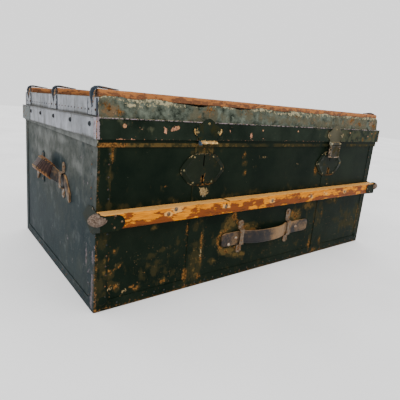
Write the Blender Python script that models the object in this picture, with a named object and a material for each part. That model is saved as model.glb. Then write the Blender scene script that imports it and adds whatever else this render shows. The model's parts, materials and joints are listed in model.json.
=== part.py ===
# Painted metal travelling trunk with a wooden batten, slatted lid and leather handles.
# Metres, +Z up, +X along the front from left to right, front face towards -Y.
# The origin is the centre of the underside.
import bpy
import bmesh
from math import cos, pi, radians, sin
from mathutils import Matrix, Vector

for item in list(bpy.data.objects):
    bpy.data.objects.remove(item, do_unlink=True)

# Driving dimensions of the case
WIDTH = 0.900
DEPTH = 0.509
CASE_TOP = 0.3380
BOARD = 0.012
SHEET = 0.0008
GAP = 0.0003
BAND_PROUD = 0.0022
BAND_HEIGHT = 0.024
BOTTOM_BINDING_TOP = 0.022
BINDING_LEG = 0.025
STRAP_WIDTH = 0.046
SKIN_FOOT = 0.0010

# Driving dimensions of the lid, all given with the lid shut
LID_GAP = 0.0006
LEDGE_RISE = 0.0150
VALANCE_OVERHANG = 0.0065
VALANCE_DROP = 0.0357
BEAD_RADIUS = 0.0013
TIER_RISE = 0.0338
LID_BOARD = 0.0134
BOARD_CLEARANCE = 0.0015
TIER_SLOPE = 0.003
DENT_DEPTH = 0.0113
DENT_REACH = 0.016
LID_AJAR = radians(1.17)
CORNER_PLATE_LENGTH = 0.078
CORNER_PLATE_ROUND = 0.007

# Slats and their end clips
SLAT_WIDTH = 0.039
SLAT_HEIGHT = 0.0129
SLAT_FRONT_INSET = 0.0250
SLAT_BACK_INSET = 0.0420
SLAT_END_INSET = 0.0040
SLAT_ROUND = 0.0045
CLIP_SHEET = 0.0012
CLIP_PLATE_WIDTH = 0.045
CLIP_PLATE_BOTTOM = 0.0030
CLIP_TONGUE = 0.046

# Batten round the front
BATTEN_TOP = 0.1993
BATTEN_HEIGHT = 0.0288
BATTEN_DEPTH = 0.0236
BATTEN_EASE = 0.003
CAP_SHEET = 0.0010
CAP_LENGTH = 0.044
CAP_TOP_INSET = 0.001
CAP_SHELF = 0.031
CAP_APRON_DROP = 0.0105
CAP_END_REACH = 0.058
NOSE_REACH = 0.022
NOSE_INNER = 0.014
NOSE_PROUD = 0.0065
NOSE_HALF = 0.0122
NOSE_HEIGHT = 0.1905

# Locks and hasps
LOCK_SPACING = 0.444
LOCK_DROP = 0.0508
LOCK_PLATE_WIDTH = 0.114
LOCK_PLATE_HEIGHT = 0.072
LOCK_PLATE_SHEET = 0.0014
LOCK_FIELD_RAISE = 0.0008
LOCK_WINDOW_WIDTH = 0.024
LOCK_WINDOW_HEIGHT = 0.062
KEYHOLE_OFFSET = 0.0145
KEYHOLE_RADIUS = 0.0034
KEYHOLE_SLIT_HALF = 0.0022
KEYHOLE_DROP = 0.014
KEY_POST_RADIUS = 0.0014
LOCK_SLOT_WIDTH = 0.0026
LOCK_SLOT_RISE = 0.0075
LOCK_SLOT_LENGTH = 0.0226
LOBE_SWELL = 0.030
LATCH_RISE = 0.0144
LOCK_CASE_WIDTH = 0.046
BOLT_THICKNESS = 0.0016
BOLT_HALF_HEIGHT = 0.0018
LOCK_CASE_HEIGHT = 0.068
LOCK_CASE_DEPTH = 0.0085
LOCK_CASE_WALL = 0.0010
BOLT_LENGTH = 0.0093
BOLT_BACK = 0.0020
HASP_WIDTH = 0.073
HASP_HEIGHT = 0.044
HASP_SHEET = 0.0015
KNUCKLE_RADIUS = 0.0038
PIN_RADIUS = 0.0015
PIN_CLEARANCE = 0.0004
PIN_INSET = 0.0005
KNUCKLE_LENGTH = 0.044
KNUCKLE_DROP = 0.0058
LEAF_WIDTH = 0.041
LEAF_BELOW_STAPLE = 0.0013
LEAF_THICKNESS = 0.0070
STAPLE_CLEARANCE = 0.0004
STAPLE_HEIGHT = 0.0080
STAPLE_THICKNESS = 0.0020
STAPLE_TIP_WALL = 0.0007
STAPLE_EYE = 0.0022
STAPLE_EYE_HALF = 0.0024
LATCH_TURN = radians(8.2)
GUIDE_HALF = 0.0016
GUIDE_STOP = 0.0035

# Leather handles and the metal loops that hold them
LEATHER = 0.0042
FRONT_STRAP_WIDTH = 0.033
FRONT_STRAP_LEFT = -0.150
FRONT_STRAP_RIGHT = 0.160
FRONT_LOOP_LEFT = -0.092
FRONT_LOOP_RIGHT = 0.077
FRONT_HANDLE_HEIGHT = 0.099
FRONT_BOW = 0.0265
FRONT_RISE = 0.020
END_STRAP_WIDTH = 0.028
END_STRAP_HALF = 0.122
END_LOOP_HALF_SPACING = 0.0775
END_HANDLE_HEIGHT = 0.2175
END_BOW = 0.0275
END_RISE = 0.048
END_LOOP_MARGIN = 0.016
END_BOW_LIFT = 0.024
END_BOW_TILT = radians(36.0)
END_TIP_DROOP = 0.027
GRIP_HALF = 0.040
GRIP_WALL = 0.0022
LOOP_SHEET = 0.0016
LOOP_WIDTH = 0.018
LOOP_CLEAR_OUT = 0.0036
LOOP_CLEAR_SIDE = 0.0022
LOOP_EAR = 0.022

# Hinges on the back
HINGE_RADIUS = 0.0040
HINGE_WIDTH = 0.066
HINGE_LEAF = 0.030
HINGE_SPACING = 0.560

HALF_W = WIDTH / 2
HALF_D = DEPTH / 2
BAND_LOWER_EDGE = CASE_TOP - BAND_HEIGHT
LEDGE_HEIGHT = CASE_TOP + LEDGE_RISE
LID_TOP = LEDGE_HEIGHT + TIER_RISE
AXIS_Y = HALF_D + GAP + HINGE_RADIUS
AXIS_Z = CASE_TOP + LID_GAP / 2
LID_BOTTOM = CASE_TOP + LID_GAP
VALANCE_BOTTOM = LEDGE_HEIGHT - VALANCE_DROP
VALANCE_INNER = VALANCE_OVERHANG - SHEET
LEFT_LOCK = -LOCK_SPACING / 2
RIGHT_LOCK = LOCK_SPACING / 2
BINDING_OUT = GAP + SHEET
PLATE_BACK = BINDING_OUT + GAP
PLATE_FRONT = PLATE_BACK + LOCK_PLATE_SHEET
SLAT_BOTTOM = LID_TOP + GAP
hasp_wall = KNUCKLE_RADIUS - PIN_RADIUS - PIN_CLEARANCE
leaf_knuckle = KNUCKLE_LENGTH * 0.62
plate_out = VALANCE_OVERHANG + BEAD_RADIUS + GAP
knuckle_out = plate_out + KNUCKLE_RADIUS
knuckle_y = -HALF_D - knuckle_out
knuckle_z = VALANCE_BOTTOM - KNUCKLE_DROP
raised_out = -HALF_D - (AXIS_Y + (knuckle_y - AXIS_Y) * cos(LID_AJAR) + (knuckle_z - AXIS_Z) * sin(LID_AJAR))
staple_tip = raised_out - PLATE_FRONT - STAPLE_CLEARANCE
LOCK_HEIGHT = VALANCE_BOTTOM - LOCK_DROP
KEYHOLE_HEIGHT = LOCK_HEIGHT - KEYHOLE_OFFSET
latch_z = LOCK_HEIGHT + LATCH_RISE
eye_out = staple_tip - STAPLE_TIP_WALL - STAPLE_EYE / 2
eye_drop = (knuckle_z + eye_out * sin(LATCH_TURN) - latch_z) / cos(LATCH_TURN)
SLAT_TOP = SLAT_BOTTOM + SLAT_HEIGHT
slat_front_y, slat_back_y = -HALF_D + SLAT_FRONT_INSET, HALF_D - SLAT_BACK_INSET
SLAT_ROWS = [slat_front_y, (slat_front_y + slat_back_y) / 2, slat_back_y]


def paint(name, colour, roughness, metallic=0.0):
    finish = bpy.data.materials.new(name)
    finish.use_nodes = True
    shader = finish.node_tree.nodes["Principled BSDF"]
    shader.inputs["Base Color"].default_value = (*colour, 1.0)
    shader.inputs["Roughness"].default_value = roughness
    shader.inputs["Metallic"].default_value = metallic
    return finish


green_paint = paint("green_enamel", (0.012, 0.026, 0.020), 0.35)
worn_steel = paint("worn_steel", (0.16, 0.13, 0.11), 0.45, 0.8)
dark_iron = paint("dark_iron", (0.045, 0.050, 0.055), 0.40, 0.7)
rusty_iron = paint("rusty_iron", (0.24, 0.12, 0.06), 0.65, 0.3)
batten_wood = paint("varnished_batten", (0.55, 0.24, 0.05), 0.45)
slat_wood = paint("slat_wood", (0.38, 0.14, 0.045), 0.5)
pine = paint("pine_board", (0.42, 0.27, 0.13), 0.75)
dark_leather = paint("dark_leather", (0.055, 0.030, 0.022), 0.55)
grip_leather = paint("grip_leather", (0.20, 0.085, 0.035), 0.6)

empties = {None: Vector((0.0, 0.0, 0.0))}


def pivot_point(name, place, parent=None, turn=0.0):
    """An empty on a hinge axis; turn is about -X."""
    empty = bpy.data.objects.new(name, None)
    bpy.context.scene.collection.objects.link(empty)
    empty.parent = parent
    empty.location = Vector(place) - empties[parent]
    empty.rotation_euler = (-turn, 0.0, 0.0)
    empties[empty] = Vector(place)
    return empty


def link(name, shape, parent=None, pivot=None, crease=35.0):
    """Makes one object from a bmesh given in closed-lid positions."""
    if pivot is None:
        lows = [min(v.co[i] for v in shape.verts) for i in range(3)]
        highs = [max(v.co[i] for v in shape.verts) for i in range(3)]
        pivot = (Vector(lows) + Vector(highs)) / 2
    pivot = Vector(pivot)
    bmesh.ops.translate(shape, verts=shape.verts, vec=-pivot)
    mesh = bpy.data.meshes.new(name)
    shape.to_mesh(mesh)
    shape.free()
    mesh.shade_smooth()
    mesh.set_sharp_from_angle(angle=radians(crease))
    made = bpy.data.objects.new(name, mesh)
    bpy.context.scene.collection.objects.link(made)
    made.parent = parent
    made.location = pivot - empties[parent]
    return made


def piece(name, shape, finish, parent=None, pivot=None, crease=35.0):
    made = link(name, shape, parent, pivot, crease)
    made.data.materials.append(finish)
    return made


def combine(target, shape, operation, parent=None):
    """Joins or cuts the target with another shape."""
    number = len(target.modifiers) + 1
    tool = link(f"{target.name}_{operation.lower()}_{number}", shape, parent)
    tool.hide_render = True
    tool.display_type = "WIRE"
    step = target.modifiers.new(tool.name, "BOOLEAN")
    step.operation = operation
    step.solver = "EXACT"
    step.object = tool
    return target


def loft(rings):
    """Skins rings of equally many points and caps the two ends."""
    shape = bmesh.new()
    loops = [[shape.verts.new(point) for point in ring] for ring in rings]
    for near, far in zip(loops, loops[1:]):
        for i in range(len(near)):
            j = (i + 1) % len(near)
            shape.faces.new((near[i], near[j], far[j], far[i]))
    shape.faces.new(reversed(loops[0]))
    shape.faces.new(loops[-1])
    bmesh.ops.recalc_face_normals(shape, faces=shape.faces)
    return shape


def sleeve(outer, inner):
    """Skins a tube with a real wall between outer and inner rings."""
    shape = bmesh.new()
    outside = [[shape.verts.new(point) for point in ring] for ring in outer]
    inside = [[shape.verts.new(point) for point in ring] for ring in inner]
    count = len(outer[0])
    for i in range(count):
        j = (i + 1) % count
        for loops in (outside, inside):
            for near, far in zip(loops, loops[1:]):
                shape.faces.new((near[i], near[j], far[j], far[i]))
        for end in (0, -1):
            shape.faces.new((outside[end][i], outside[end][j], inside[end][j], inside[end][i]))
    bmesh.ops.recalc_face_normals(shape, faces=shape.faces)
    return shape


def block(low, high):
    shape = bmesh.new()
    bmesh.ops.create_cube(shape, size=1.0)
    size = Vector(high) - Vector(low)
    bmesh.ops.scale(shape, verts=shape.verts, vec=size)
    bmesh.ops.translate(shape, verts=shape.verts, vec=(Vector(low) + Vector(high)) / 2)
    return shape


def soften(shape, width, segments=2):
    """Rounds every edge that is sharper than 40 degrees."""
    edges = [e for e in shape.edges if len(e.link_faces) == 2 and e.calc_face_angle(0.0) > radians(40)]
    bmesh.ops.bevel(shape, geom=edges, offset=width, segments=segments, affect="EDGES",
                    profile=0.5, material=-1)
    return shape


def on_front(x, z, out):
    return Vector((x, -HALF_D - out, z))


def on_end(side, y, z, out):
    return Vector((side * (HALF_W + out), y, z))


def plate(outline, place, out, thickness):
    """Extrudes an outline outwards; place(a, b, out) gives the world point."""
    near = [place(a, b, out) for a, b in outline]
    far = [place(a, b, out + thickness) for a, b in outline]
    return loft([near, far])


def profile_along_x(outline, x0, x1):
    """Extrudes a (y, z) outline along X."""
    return loft([[Vector((x, y, z)) for y, z in outline] for x in (x0, x1)])


def arc(centre, radius, start, end, steps):
    """Points of an arc, in degrees, including both ends."""
    turns = [radians(start + (end - start) * i / steps) for i in range(steps + 1)]
    return [(centre[0] + radius * cos(t), centre[1] + radius * sin(t)) for t in turns]


def rectangle(x0, x1, y0, y1, z, radius, front_points=0, front_z=None):
    """A rounded rectangle; the front side may carry extra points with their own height."""
    corners = ((x1, y0, 1, 1, -90), (x1, y1, 1, -1, 0), (x0, y1, -1, -1, 90), (x0, y0, -1, 1, 180))
    ring = []
    for x, y, sx, sy, start in corners:
        centre = (x - sx * radius, y + sy * radius)
        ring += [Vector((px, py, z)) for px, py in arc(centre, radius, start, start + 90, 3)]
    for i in range(front_points):
        share = (i + 1) / (front_points + 1)
        ring.append(Vector((x0 + radius + (x1 - x0 - 2 * radius) * share, y0, z)))
    if front_z:
        for point in ring:
            if point.y < y0 + radius * 1.001:
                point.z -= front_z(point.x)
    return ring


# Wooden box: four walls round a bottom board
inner_x = HALF_W - SHEET - GAP
inner_y = HALF_D - SHEET - GAP
wall_x = inner_x - BOARD
wall_y = inner_y - BOARD
piece("bottom_board", block((-wall_x + GAP, -wall_y + GAP, 0.0), (wall_x - GAP, wall_y - GAP, BOARD)), pine)
front_board = piece("front_board", block((-inner_x, -inner_y, 0.0), (inner_x, -wall_y, CASE_TOP)), pine)
piece("back_board", block((-inner_x, wall_y, 0.0), (inner_x, inner_y, CASE_TOP)), pine)
for side, label in ((-1, "left"), (1, "right")):
    xs = sorted((side * inner_x, side * wall_x))
    piece(f"{label}_board", block((xs[0], -wall_y + GAP, 0.0), (xs[1], wall_y - GAP, CASE_TOP)), pine)


def frame_ring(out_near, out_far, z0, z1, radius):
    """A flat band that runs right round the case."""
    def ring(out, z):
        return rectangle(-HALF_W - out, HALF_W + out, -HALF_D - out, HALF_D + out, z, radius)
    outer = [ring(out_far, z) for z in (z0, z1)]
    inner = [ring(out_near, z) for z in (z0, z1)]
    return sleeve(outer, inner)


# Sheet metal skin wrapped round the boards
case_skin = piece("case_skin", frame_ring(-SHEET, 0.0, SKIN_FOOT, CASE_TOP, 0.0001), green_paint)

# Bindings: a band round the foot with an angle up each corner
bindings = piece("case_bindings", frame_ring(GAP, BINDING_OUT, SKIN_FOOT, BAND_LOWER_EDGE - GAP, 0.0002), green_paint)
past_the_corner = 1.2
combine(bindings, block((-HALF_W + BINDING_LEG, -past_the_corner * HALF_D, BOTTOM_BINDING_TOP),
                        (HALF_W - BINDING_LEG, past_the_corner * HALF_D, CASE_TOP)), "DIFFERENCE")
combine(bindings, block((-past_the_corner * HALF_W, -HALF_D + BINDING_LEG, BOTTOM_BINDING_TOP),
                        (past_the_corner * HALF_W, HALF_D - BINDING_LEG, CASE_TOP)), "DIFFERENCE")

# Rim band: front and both ends, ending flush at the back
band_in, band_out = GAP, GAP + BAND_PROUD
u_outline = [(-HALF_W - band_out, HALF_D), (-HALF_W - band_out, -HALF_D - band_out),
             (HALF_W + band_out, -HALF_D - band_out), (HALF_W + band_out, HALF_D),
             (HALF_W + band_in, HALF_D), (HALF_W + band_in, -HALF_D - band_in),
             (-HALF_W - band_in, -HALF_D - band_in), (-HALF_W - band_in, HALF_D)]
rim = loft([[Vector((x, y, z)) for x, y in u_outline] for z in (BAND_LOWER_EDGE, CASE_TOP)])
piece("rim_band", rim, rusty_iron)

# Two upright straps under the locks
front_straps = {}
for x, label in ((LEFT_LOCK, "left"), (RIGHT_LOCK, "right")):
    low = (x - STRAP_WIDTH / 2, -HALF_D - BINDING_OUT, BOTTOM_BINDING_TOP + GAP)
    high = (x + STRAP_WIDTH / 2, -HALF_D - GAP, BAND_LOWER_EDGE - GAP)
    front_straps[label] = piece(f"front_strap_{label}", block(low, high), green_paint)

# Batten with eased front edges
batten_back = HALF_D + PLATE_BACK
batten_face = batten_back + BATTEN_DEPTH
batten_bottom = BATTEN_TOP - BATTEN_HEIGHT
batten_outline = [(-batten_back, BATTEN_TOP), (-batten_back, batten_bottom)]
batten_outline += arc((-batten_face + BATTEN_EASE, batten_bottom + BATTEN_EASE), BATTEN_EASE, 270, 180, 3)
batten_outline += arc((-batten_face + BATTEN_EASE, BATTEN_TOP - BATTEN_EASE), BATTEN_EASE, 180, 90, 3)
piece("batten", profile_along_x(batten_outline, -HALF_W, HALF_W), batten_wood)


def batten_cap(side, label):
    """Pressed metal cap: front plate, end plate, folded apron and a worn nose."""
    def front_place(a, b, out):
        return Vector((side * (HALF_W - a), -batten_face - out, b))

    def end_place(a, b, out):
        return on_end(side, -HALF_D + a, b, out)

    top = BATTEN_TOP - CAP_TOP_INSET
    lower = batten_bottom - GAP - CAP_SHEET
    tip_z = (top + lower) / 2
    tip_r = (top - lower) / 2
    outline = [(-GAP - CAP_SHEET, lower), (CAP_LENGTH - tip_r, lower)]
    outline += arc((CAP_LENGTH - tip_r, tip_z), tip_r, -75, 75, 6)
    outline += [(CAP_LENGTH - tip_r, top), (-GAP - CAP_SHEET, top)]
    cap = piece(f"batten_cap_{label}", plate(outline, front_place, GAP, CAP_SHEET), dark_iron)

    mid_sheet = -batten_face - GAP - CAP_SHEET / 2
    end_low, end_high = batten_bottom - CAP_APRON_DROP, BATTEN_TOP + 1.5 * CAP_SHEET
    side_y = -HALF_D - PLATE_BACK
    # The end plate swells behind the corner and narrows to a point
    outline = [(mid_sheet + HALF_D, lower), (side_y + HALF_D, end_low), (0.010, end_low - 0.006),
               (0.034, end_low + 0.004), (CAP_END_REACH, tip_z - 0.004), (0.034, end_high + 0.002),
               (0.012, end_high + 0.006), (side_y + HALF_D, end_high), (mid_sheet + HALF_D, top)]
    combine(cap, plate(outline, end_place, PLATE_BACK, CAP_SHEET), "UNION")

    def slab(out_near, out_far, y0, y1, z0, z1):
        xs = sorted((side * (HALF_W + out_near), side * (HALF_W + out_far)))
        return block((xs[0], y0, z0), (xs[1], y1, z1))

    # Corner between the plates, shelf under the batten, and the apron folded down on the case
    combine(cap, slab(GAP, PLATE_BACK + CAP_SHEET * 0.6, mid_sheet + 0.0002, -batten_face + 0.004,
                      lower + 0.0006, top - 0.0006), "UNION")
    combine(cap, slab(-CAP_SHELF, PLATE_BACK + CAP_SHEET * 0.4, mid_sheet, side_y - CAP_SHEET / 2,
                      lower + 0.0001, batten_bottom - GAP), "UNION")
    combine(cap, slab(-CAP_SHELF + CAP_SHEET, -0.003, side_y - CAP_SHEET, side_y, end_low, lower + CAP_SHEET / 2), "UNION")

    # Worn nose: a lump hollowed where the plates pass
    nose = bmesh.new()
    bmesh.ops.create_uvsphere(nose, u_segments=14, v_segments=9, radius=1.0)
    bmesh.ops.rotate(nose, verts=nose.verts, cent=(0, 0, 0), matrix=Matrix.Rotation(pi / 2, 3, "Y"))
    bmesh.ops.scale(nose, verts=nose.verts, vec=((NOSE_REACH + NOSE_INNER) / 2, NOSE_HALF, NOSE_HALF))
    centre = (side * (HALF_W + (NOSE_REACH - NOSE_INNER) / 2), -batten_face - NOSE_PROUD + NOSE_HALF, NOSE_HEIGHT)
    bmesh.ops.translate(nose, verts=nose.verts, vec=centre)
    lump = link(f"nose_{label}", nose)
    lump.hide_render = True
    lump.display_type = "WIRE"
    combine(lump, slab(-0.05, PLATE_BACK + CAP_SHEET * 0.35, mid_sheet, 0.0, 0.1, 0.3), "DIFFERENCE")
    step = cap.modifiers.new("nose", "BOOLEAN")
    step.operation = "UNION"
    step.solver = "EXACT"
    step.object = lump


for side, label in ((-1, "left"), (1, "right")):
    batten_cap(side, label)


def lock_outline(scale=1.0):
    """Six shallow lobes on an ellipse."""
    points = []
    count = 36
    for i in range(count):
        t = 2 * pi * i / count
        swell = (1.0 + LOBE_SWELL * cos(6 * t)) / (1.0 + LOBE_SWELL)
        a = LOCK_PLATE_WIDTH / 2 * cos(t) * swell
        b = LOCK_PLATE_HEIGHT / 2 * sin(t) * swell
        points.append((a * scale, b * scale))
    return points


through = 2 * PLATE_FRONT
for lock_x, label in ((LEFT_LOCK, "left"), (RIGHT_LOCK, "right")):
    # Scalloped plate with a raised field
    levels = [(1.0, PLATE_BACK), (1.0, PLATE_FRONT - 0.0006), (0.985, PLATE_FRONT), (0.86, PLATE_FRONT),
              (0.84, PLATE_FRONT + LOCK_FIELD_RAISE), (0.80, PLATE_FRONT + LOCK_FIELD_RAISE),
              (0.78, PLATE_FRONT)]
    rings = [[on_front(lock_x + a, LOCK_HEIGHT + b, out) for a, b in lock_outline(scale)]
             for scale, out in levels]
    lock_plate = piece(f"lock_plate_{label}", loft(rings), green_paint)
    slot = block((lock_x - LOCK_SLOT_WIDTH / 2, -HALF_D - through, LOCK_HEIGHT + LOCK_SLOT_RISE),
                 (lock_x + LOCK_SLOT_WIDTH / 2, -HALF_D, LOCK_HEIGHT + LOCK_SLOT_RISE + LOCK_SLOT_LENGTH))
    combine(lock_plate, slot, "DIFFERENCE")
    key_top = arc((0.0, 0.0), KEYHOLE_RADIUS, -60, 240, 8)
    key_foot = [(-KEYHOLE_SLIT_HALF, -KEYHOLE_DROP), (KEYHOLE_SLIT_HALF, -KEYHOLE_DROP)]
    key_outline = [(lock_x + a, KEYHOLE_HEIGHT + b) for a, b in key_top + key_foot]
    combine(lock_plate, plate(key_outline, on_front, 0.0, through), "DIFFERENCE")

    # Windows behind the plate and the pocket for the lock case
    for target in (case_skin, front_straps[label]):
        window = block((lock_x - LOCK_WINDOW_WIDTH / 2, -HALF_D - through, LOCK_HEIGHT - LOCK_WINDOW_HEIGHT / 2),
                       (lock_x + LOCK_WINDOW_WIDTH / 2, -HALF_D + through, LOCK_HEIGHT + LOCK_WINDOW_HEIGHT / 2))
        combine(target, window, "DIFFERENCE")
    half_w, half_h = LOCK_CASE_WIDTH / 2, LOCK_CASE_HEIGHT / 2
    pocket = block((lock_x - half_w - GAP, -inner_y - through, LOCK_HEIGHT - half_h - GAP),
                   (lock_x + half_w + GAP, -inner_y + LOCK_CASE_DEPTH + GAP, LOCK_HEIGHT + half_h + GAP))
    combine(front_board, pocket, "DIFFERENCE")

    # Lock case: a tray open to the front, with a key post
    def tray(inset, depth):
        w, h = half_w - inset, half_h - inset
        y = -inner_y + depth
        return [Vector((lock_x + a * w, y, LOCK_HEIGHT + b * h)) for a, b in ((-1, -1), (1, -1), (1, 1), (-1, 1))]
    walls = loft([tray(LOCK_CASE_WALL, LOCK_CASE_DEPTH - LOCK_CASE_WALL), tray(LOCK_CASE_WALL, 0.0),
                  tray(0.0, 0.0), tray(0.0, LOCK_CASE_DEPTH)])
    lock_case = piece(f"lock_case_{label}", walls, dark_iron)
    post_ring = arc((lock_x, KEYHOLE_HEIGHT), KEY_POST_RADIUS, 0, 315, 7)
    post = loft([[Vector((x, y, z)) for x, z in post_ring]
                 for y in (-inner_y + 0.0005, -inner_y + LOCK_CASE_DEPTH - LOCK_CASE_WALL / 2)])
    combine(lock_case, post, "UNION")
    for offset in (-BOLT_HALF_HEIGHT * 1.6, BOLT_HALF_HEIGHT * 1.6):
        rail = block((lock_x - half_w + LOCK_CASE_WALL / 2, -inner_y, latch_z + offset - GUIDE_HALF),
                     (lock_x - GUIDE_STOP, -inner_y + LOCK_CASE_DEPTH - LOCK_CASE_WALL / 2,
                      latch_z + offset + GUIDE_HALF))
        combine(lock_case, rail, "UNION")

    # Sliding bolt beside the slot, between the guides and the plate
    bolt_x1 = lock_x - BOLT_BACK
    bolt_y = -inner_y - GAP
    bolt_low = (bolt_x1 - BOLT_LENGTH, bolt_y - BOLT_THICKNESS, latch_z - BOLT_HALF_HEIGHT)
    bolt_high = (bolt_x1, bolt_y, latch_z + BOLT_HALF_HEIGHT)
    piece(f"lock_bolt_{label}", soften(block(bolt_low, bolt_high), 0.0003, 1), worn_steel,
          pivot=(bolt_x1, bolt_y, latch_z))


def loop_rings(place, across, out_back, ears):
    """A bent strip that bridges a strap; across is half the opening, ears their reach up and down."""
    out = out_back + LEATHER + LOOP_CLEAR_OUT + LOOP_SHEET
    up, down = ears
    path = [(-across - down, out_back, 0.35, 0), (-across - down + 0.004, out_back, 0.95, 0),
            (-across - LOOP_SHEET, out_back, 0.80, 0), (-across - 0.0002, out, 0.80, 1),
            (-across * 0.4, out, 0.60, 0), (across * 0.4, out, 0.60, 0), (across + 0.0002, out, 0.80, -1),
            (across + LOOP_SHEET, out_back, 0.80, 0), (across + up - 0.004, out_back, 0.95, 0),
            (across + up, out_back, 0.35, 0)]
    rings = []
    for along, height, width, bend in path:
        half = LOOP_WIDTH / 2 * width
        if height == out_back:
            low, high, shift = out_back, out_back + LOOP_SHEET, 0.0
        else:
            low, high, shift = out - LOOP_SHEET, out, LOOP_SHEET * bend
        ring = []
        for a, height_out, slide in ((-half, low, shift), (half, low, shift), (half, high, 0.0), (-half, high, 0.0)):
            ring.append(place(a, along + slide, height_out))
        rings.append(ring)
    return rings


def strap_ring(centre, width_way, face_way, width, thickness):
    """Rounded section of a leather strap."""
    half, deep, edge = width / 2, thickness / 2, thickness * 0.35
    corners = [(-half, -deep + edge), (-half + edge, -deep), (half - edge, -deep), (half, -deep + edge),
               (half, deep - edge), (half - edge, deep), (-half + edge, deep), (-half, deep - edge)]
    return [centre + width_way * a + face_way * b for a, b in corners]


def smooth_step(value):
    value = max(0.0, min(1.0, value))
    return value * value * (3 - 2 * value)


# Front handle: a strap in two loops, slid to the right
front_centre = GAP + LEATHER / 2
bow_left = FRONT_LOOP_LEFT + LOOP_WIDTH / 2 + 0.003
bow_right = FRONT_LOOP_RIGHT - LOOP_WIDTH / 2 - 0.013
stations = [FRONT_STRAP_LEFT, FRONT_STRAP_LEFT + 0.003, FRONT_STRAP_LEFT + 0.010, bow_left - 0.002]
stations += [bow_left + FRONT_RISE * i / 6 for i in range(7)]
stations += [(bow_left + bow_right) / 2 + d for d in (-0.03, 0.0, 0.03)]
stations += [bow_right - FRONT_RISE * (6 - i) / 6 for i in range(7)]
stations += [bow_right + 0.002, FRONT_STRAP_RIGHT - 0.010, FRONT_STRAP_RIGHT - 0.003, FRONT_STRAP_RIGHT]
rings = []
for x in stations:
    lift = smooth_step((x - bow_left) / FRONT_RISE) * smooth_step((bow_right - x) / FRONT_RISE)
    end = min(x - FRONT_STRAP_LEFT, FRONT_STRAP_RIGHT - x)
    width = FRONT_STRAP_WIDTH * (0.62 if end < 0.001 else 0.88 if end < 0.005 else 1.0)
    centre = on_front(x, FRONT_HANDLE_HEIGHT, front_centre + FRONT_BOW * lift)
    rings.append(strap_ring(centre, Vector((0, 0, 1)), Vector((0, -1, 0)), width, LEATHER))
front_pivot = on_front(0.0, FRONT_HANDLE_HEIGHT, front_centre)
piece("front_handle_strap", loft(rings), dark_leather, pivot=front_pivot)
for x, up, label in ((FRONT_LOOP_LEFT, LOOP_EAR, "left"), (FRONT_LOOP_RIGHT, LOOP_EAR + 0.010, "right")):
    def loop_place(a, b, out, x=x):
        return on_front(x + a, FRONT_HANDLE_HEIGHT + b, out)
    rings = loop_rings(loop_place, FRONT_STRAP_WIDTH / 2 + LOOP_CLEAR_SIDE, GAP, (up, LOOP_EAR))
    piece(f"front_handle_loop_{label}", loft(rings), rusty_iron)


def end_path(y):
    """Centre, width direction and face direction of the end strap, for the left end seen from outside."""
    away = abs(y)
    past = END_LOOP_HALF_SPACING + END_LOOP_MARGIN
    bow = smooth_step((END_LOOP_HALF_SPACING - END_LOOP_MARGIN - away) / END_RISE)
    droop = smooth_step((away - past) / (END_STRAP_HALF - past))
    out = GAP + LEATHER / 2 + END_BOW * bow
    z = END_HANDLE_HEIGHT + END_BOW_LIFT * bow - END_TIP_DROOP * droop
    return out, z, END_BOW_TILT * bow


for side, label in ((-1, "left"), (1, "right")):
    def strap_at(y, width, thickness):
        out, z, tilt = end_path(y)
        across = Vector((-side * sin(tilt), 0, cos(tilt)))
        face = Vector((side * cos(tilt), 0, sin(tilt)))
        return strap_ring(on_end(side, y, z, out), across, face, width, thickness)

    bow_start = -END_LOOP_HALF_SPACING + END_LOOP_MARGIN
    steps = [-END_STRAP_HALF, -END_STRAP_HALF + 0.003, -END_STRAP_HALF + 0.014,
             -END_LOOP_HALF_SPACING - END_LOOP_MARGIN - 0.010, -END_LOOP_HALF_SPACING - END_LOOP_MARGIN, bow_start]
    steps += [bow_start + END_RISE * i / 6 for i in range(1, 7)]
    steps = sorted([0.0, -GRIP_HALF, GRIP_HALF] + steps + [-y for y in steps])
    rings = []
    for y in steps:
        end = END_STRAP_HALF - abs(y)
        width = END_STRAP_WIDTH * (0.70 if end < 0.001 else 0.90 if end < 0.004 else 1.0)
        rings.append(strap_at(y, width, LEATHER))
    handle_pivot = on_end(side, 0.0, END_HANDLE_HEIGHT, GAP + LEATHER / 2)
    piece(f"{label}_handle_strap", loft(rings), dark_leather, pivot=handle_pivot)
    outer, inner = [], []
    for y in [y for y in steps if abs(y) <= GRIP_HALF]:
        swell = 1.0 - 0.25 * abs(y) / GRIP_HALF
        outer.append(strap_at(y, END_STRAP_WIDTH + 2 * GAP + 2 * GRIP_WALL * swell,
                              LEATHER + 2 * GAP + 2 * GRIP_WALL * swell * 1.5))
        inner.append(strap_at(y, END_STRAP_WIDTH + 2 * GAP * 1.5, LEATHER + 2 * GAP * 1.5))
    piece(f"{label}_handle_grip", sleeve(outer, inner), grip_leather, pivot=handle_pivot)
    for y, where in ((-END_LOOP_HALF_SPACING, "front"), (END_LOOP_HALF_SPACING, "back")):
        def loop_place(a, b, out, y=y):
            return on_end(side, y + a, END_HANDLE_HEIGHT + b, out)
        rings = loop_rings(loop_place, END_STRAP_WIDTH / 2 + LOOP_CLEAR_SIDE, GAP, (LOOP_EAR, LOOP_EAR))
        piece(f"{label}_handle_loop_{where}", loft(rings), rusty_iron)

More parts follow.
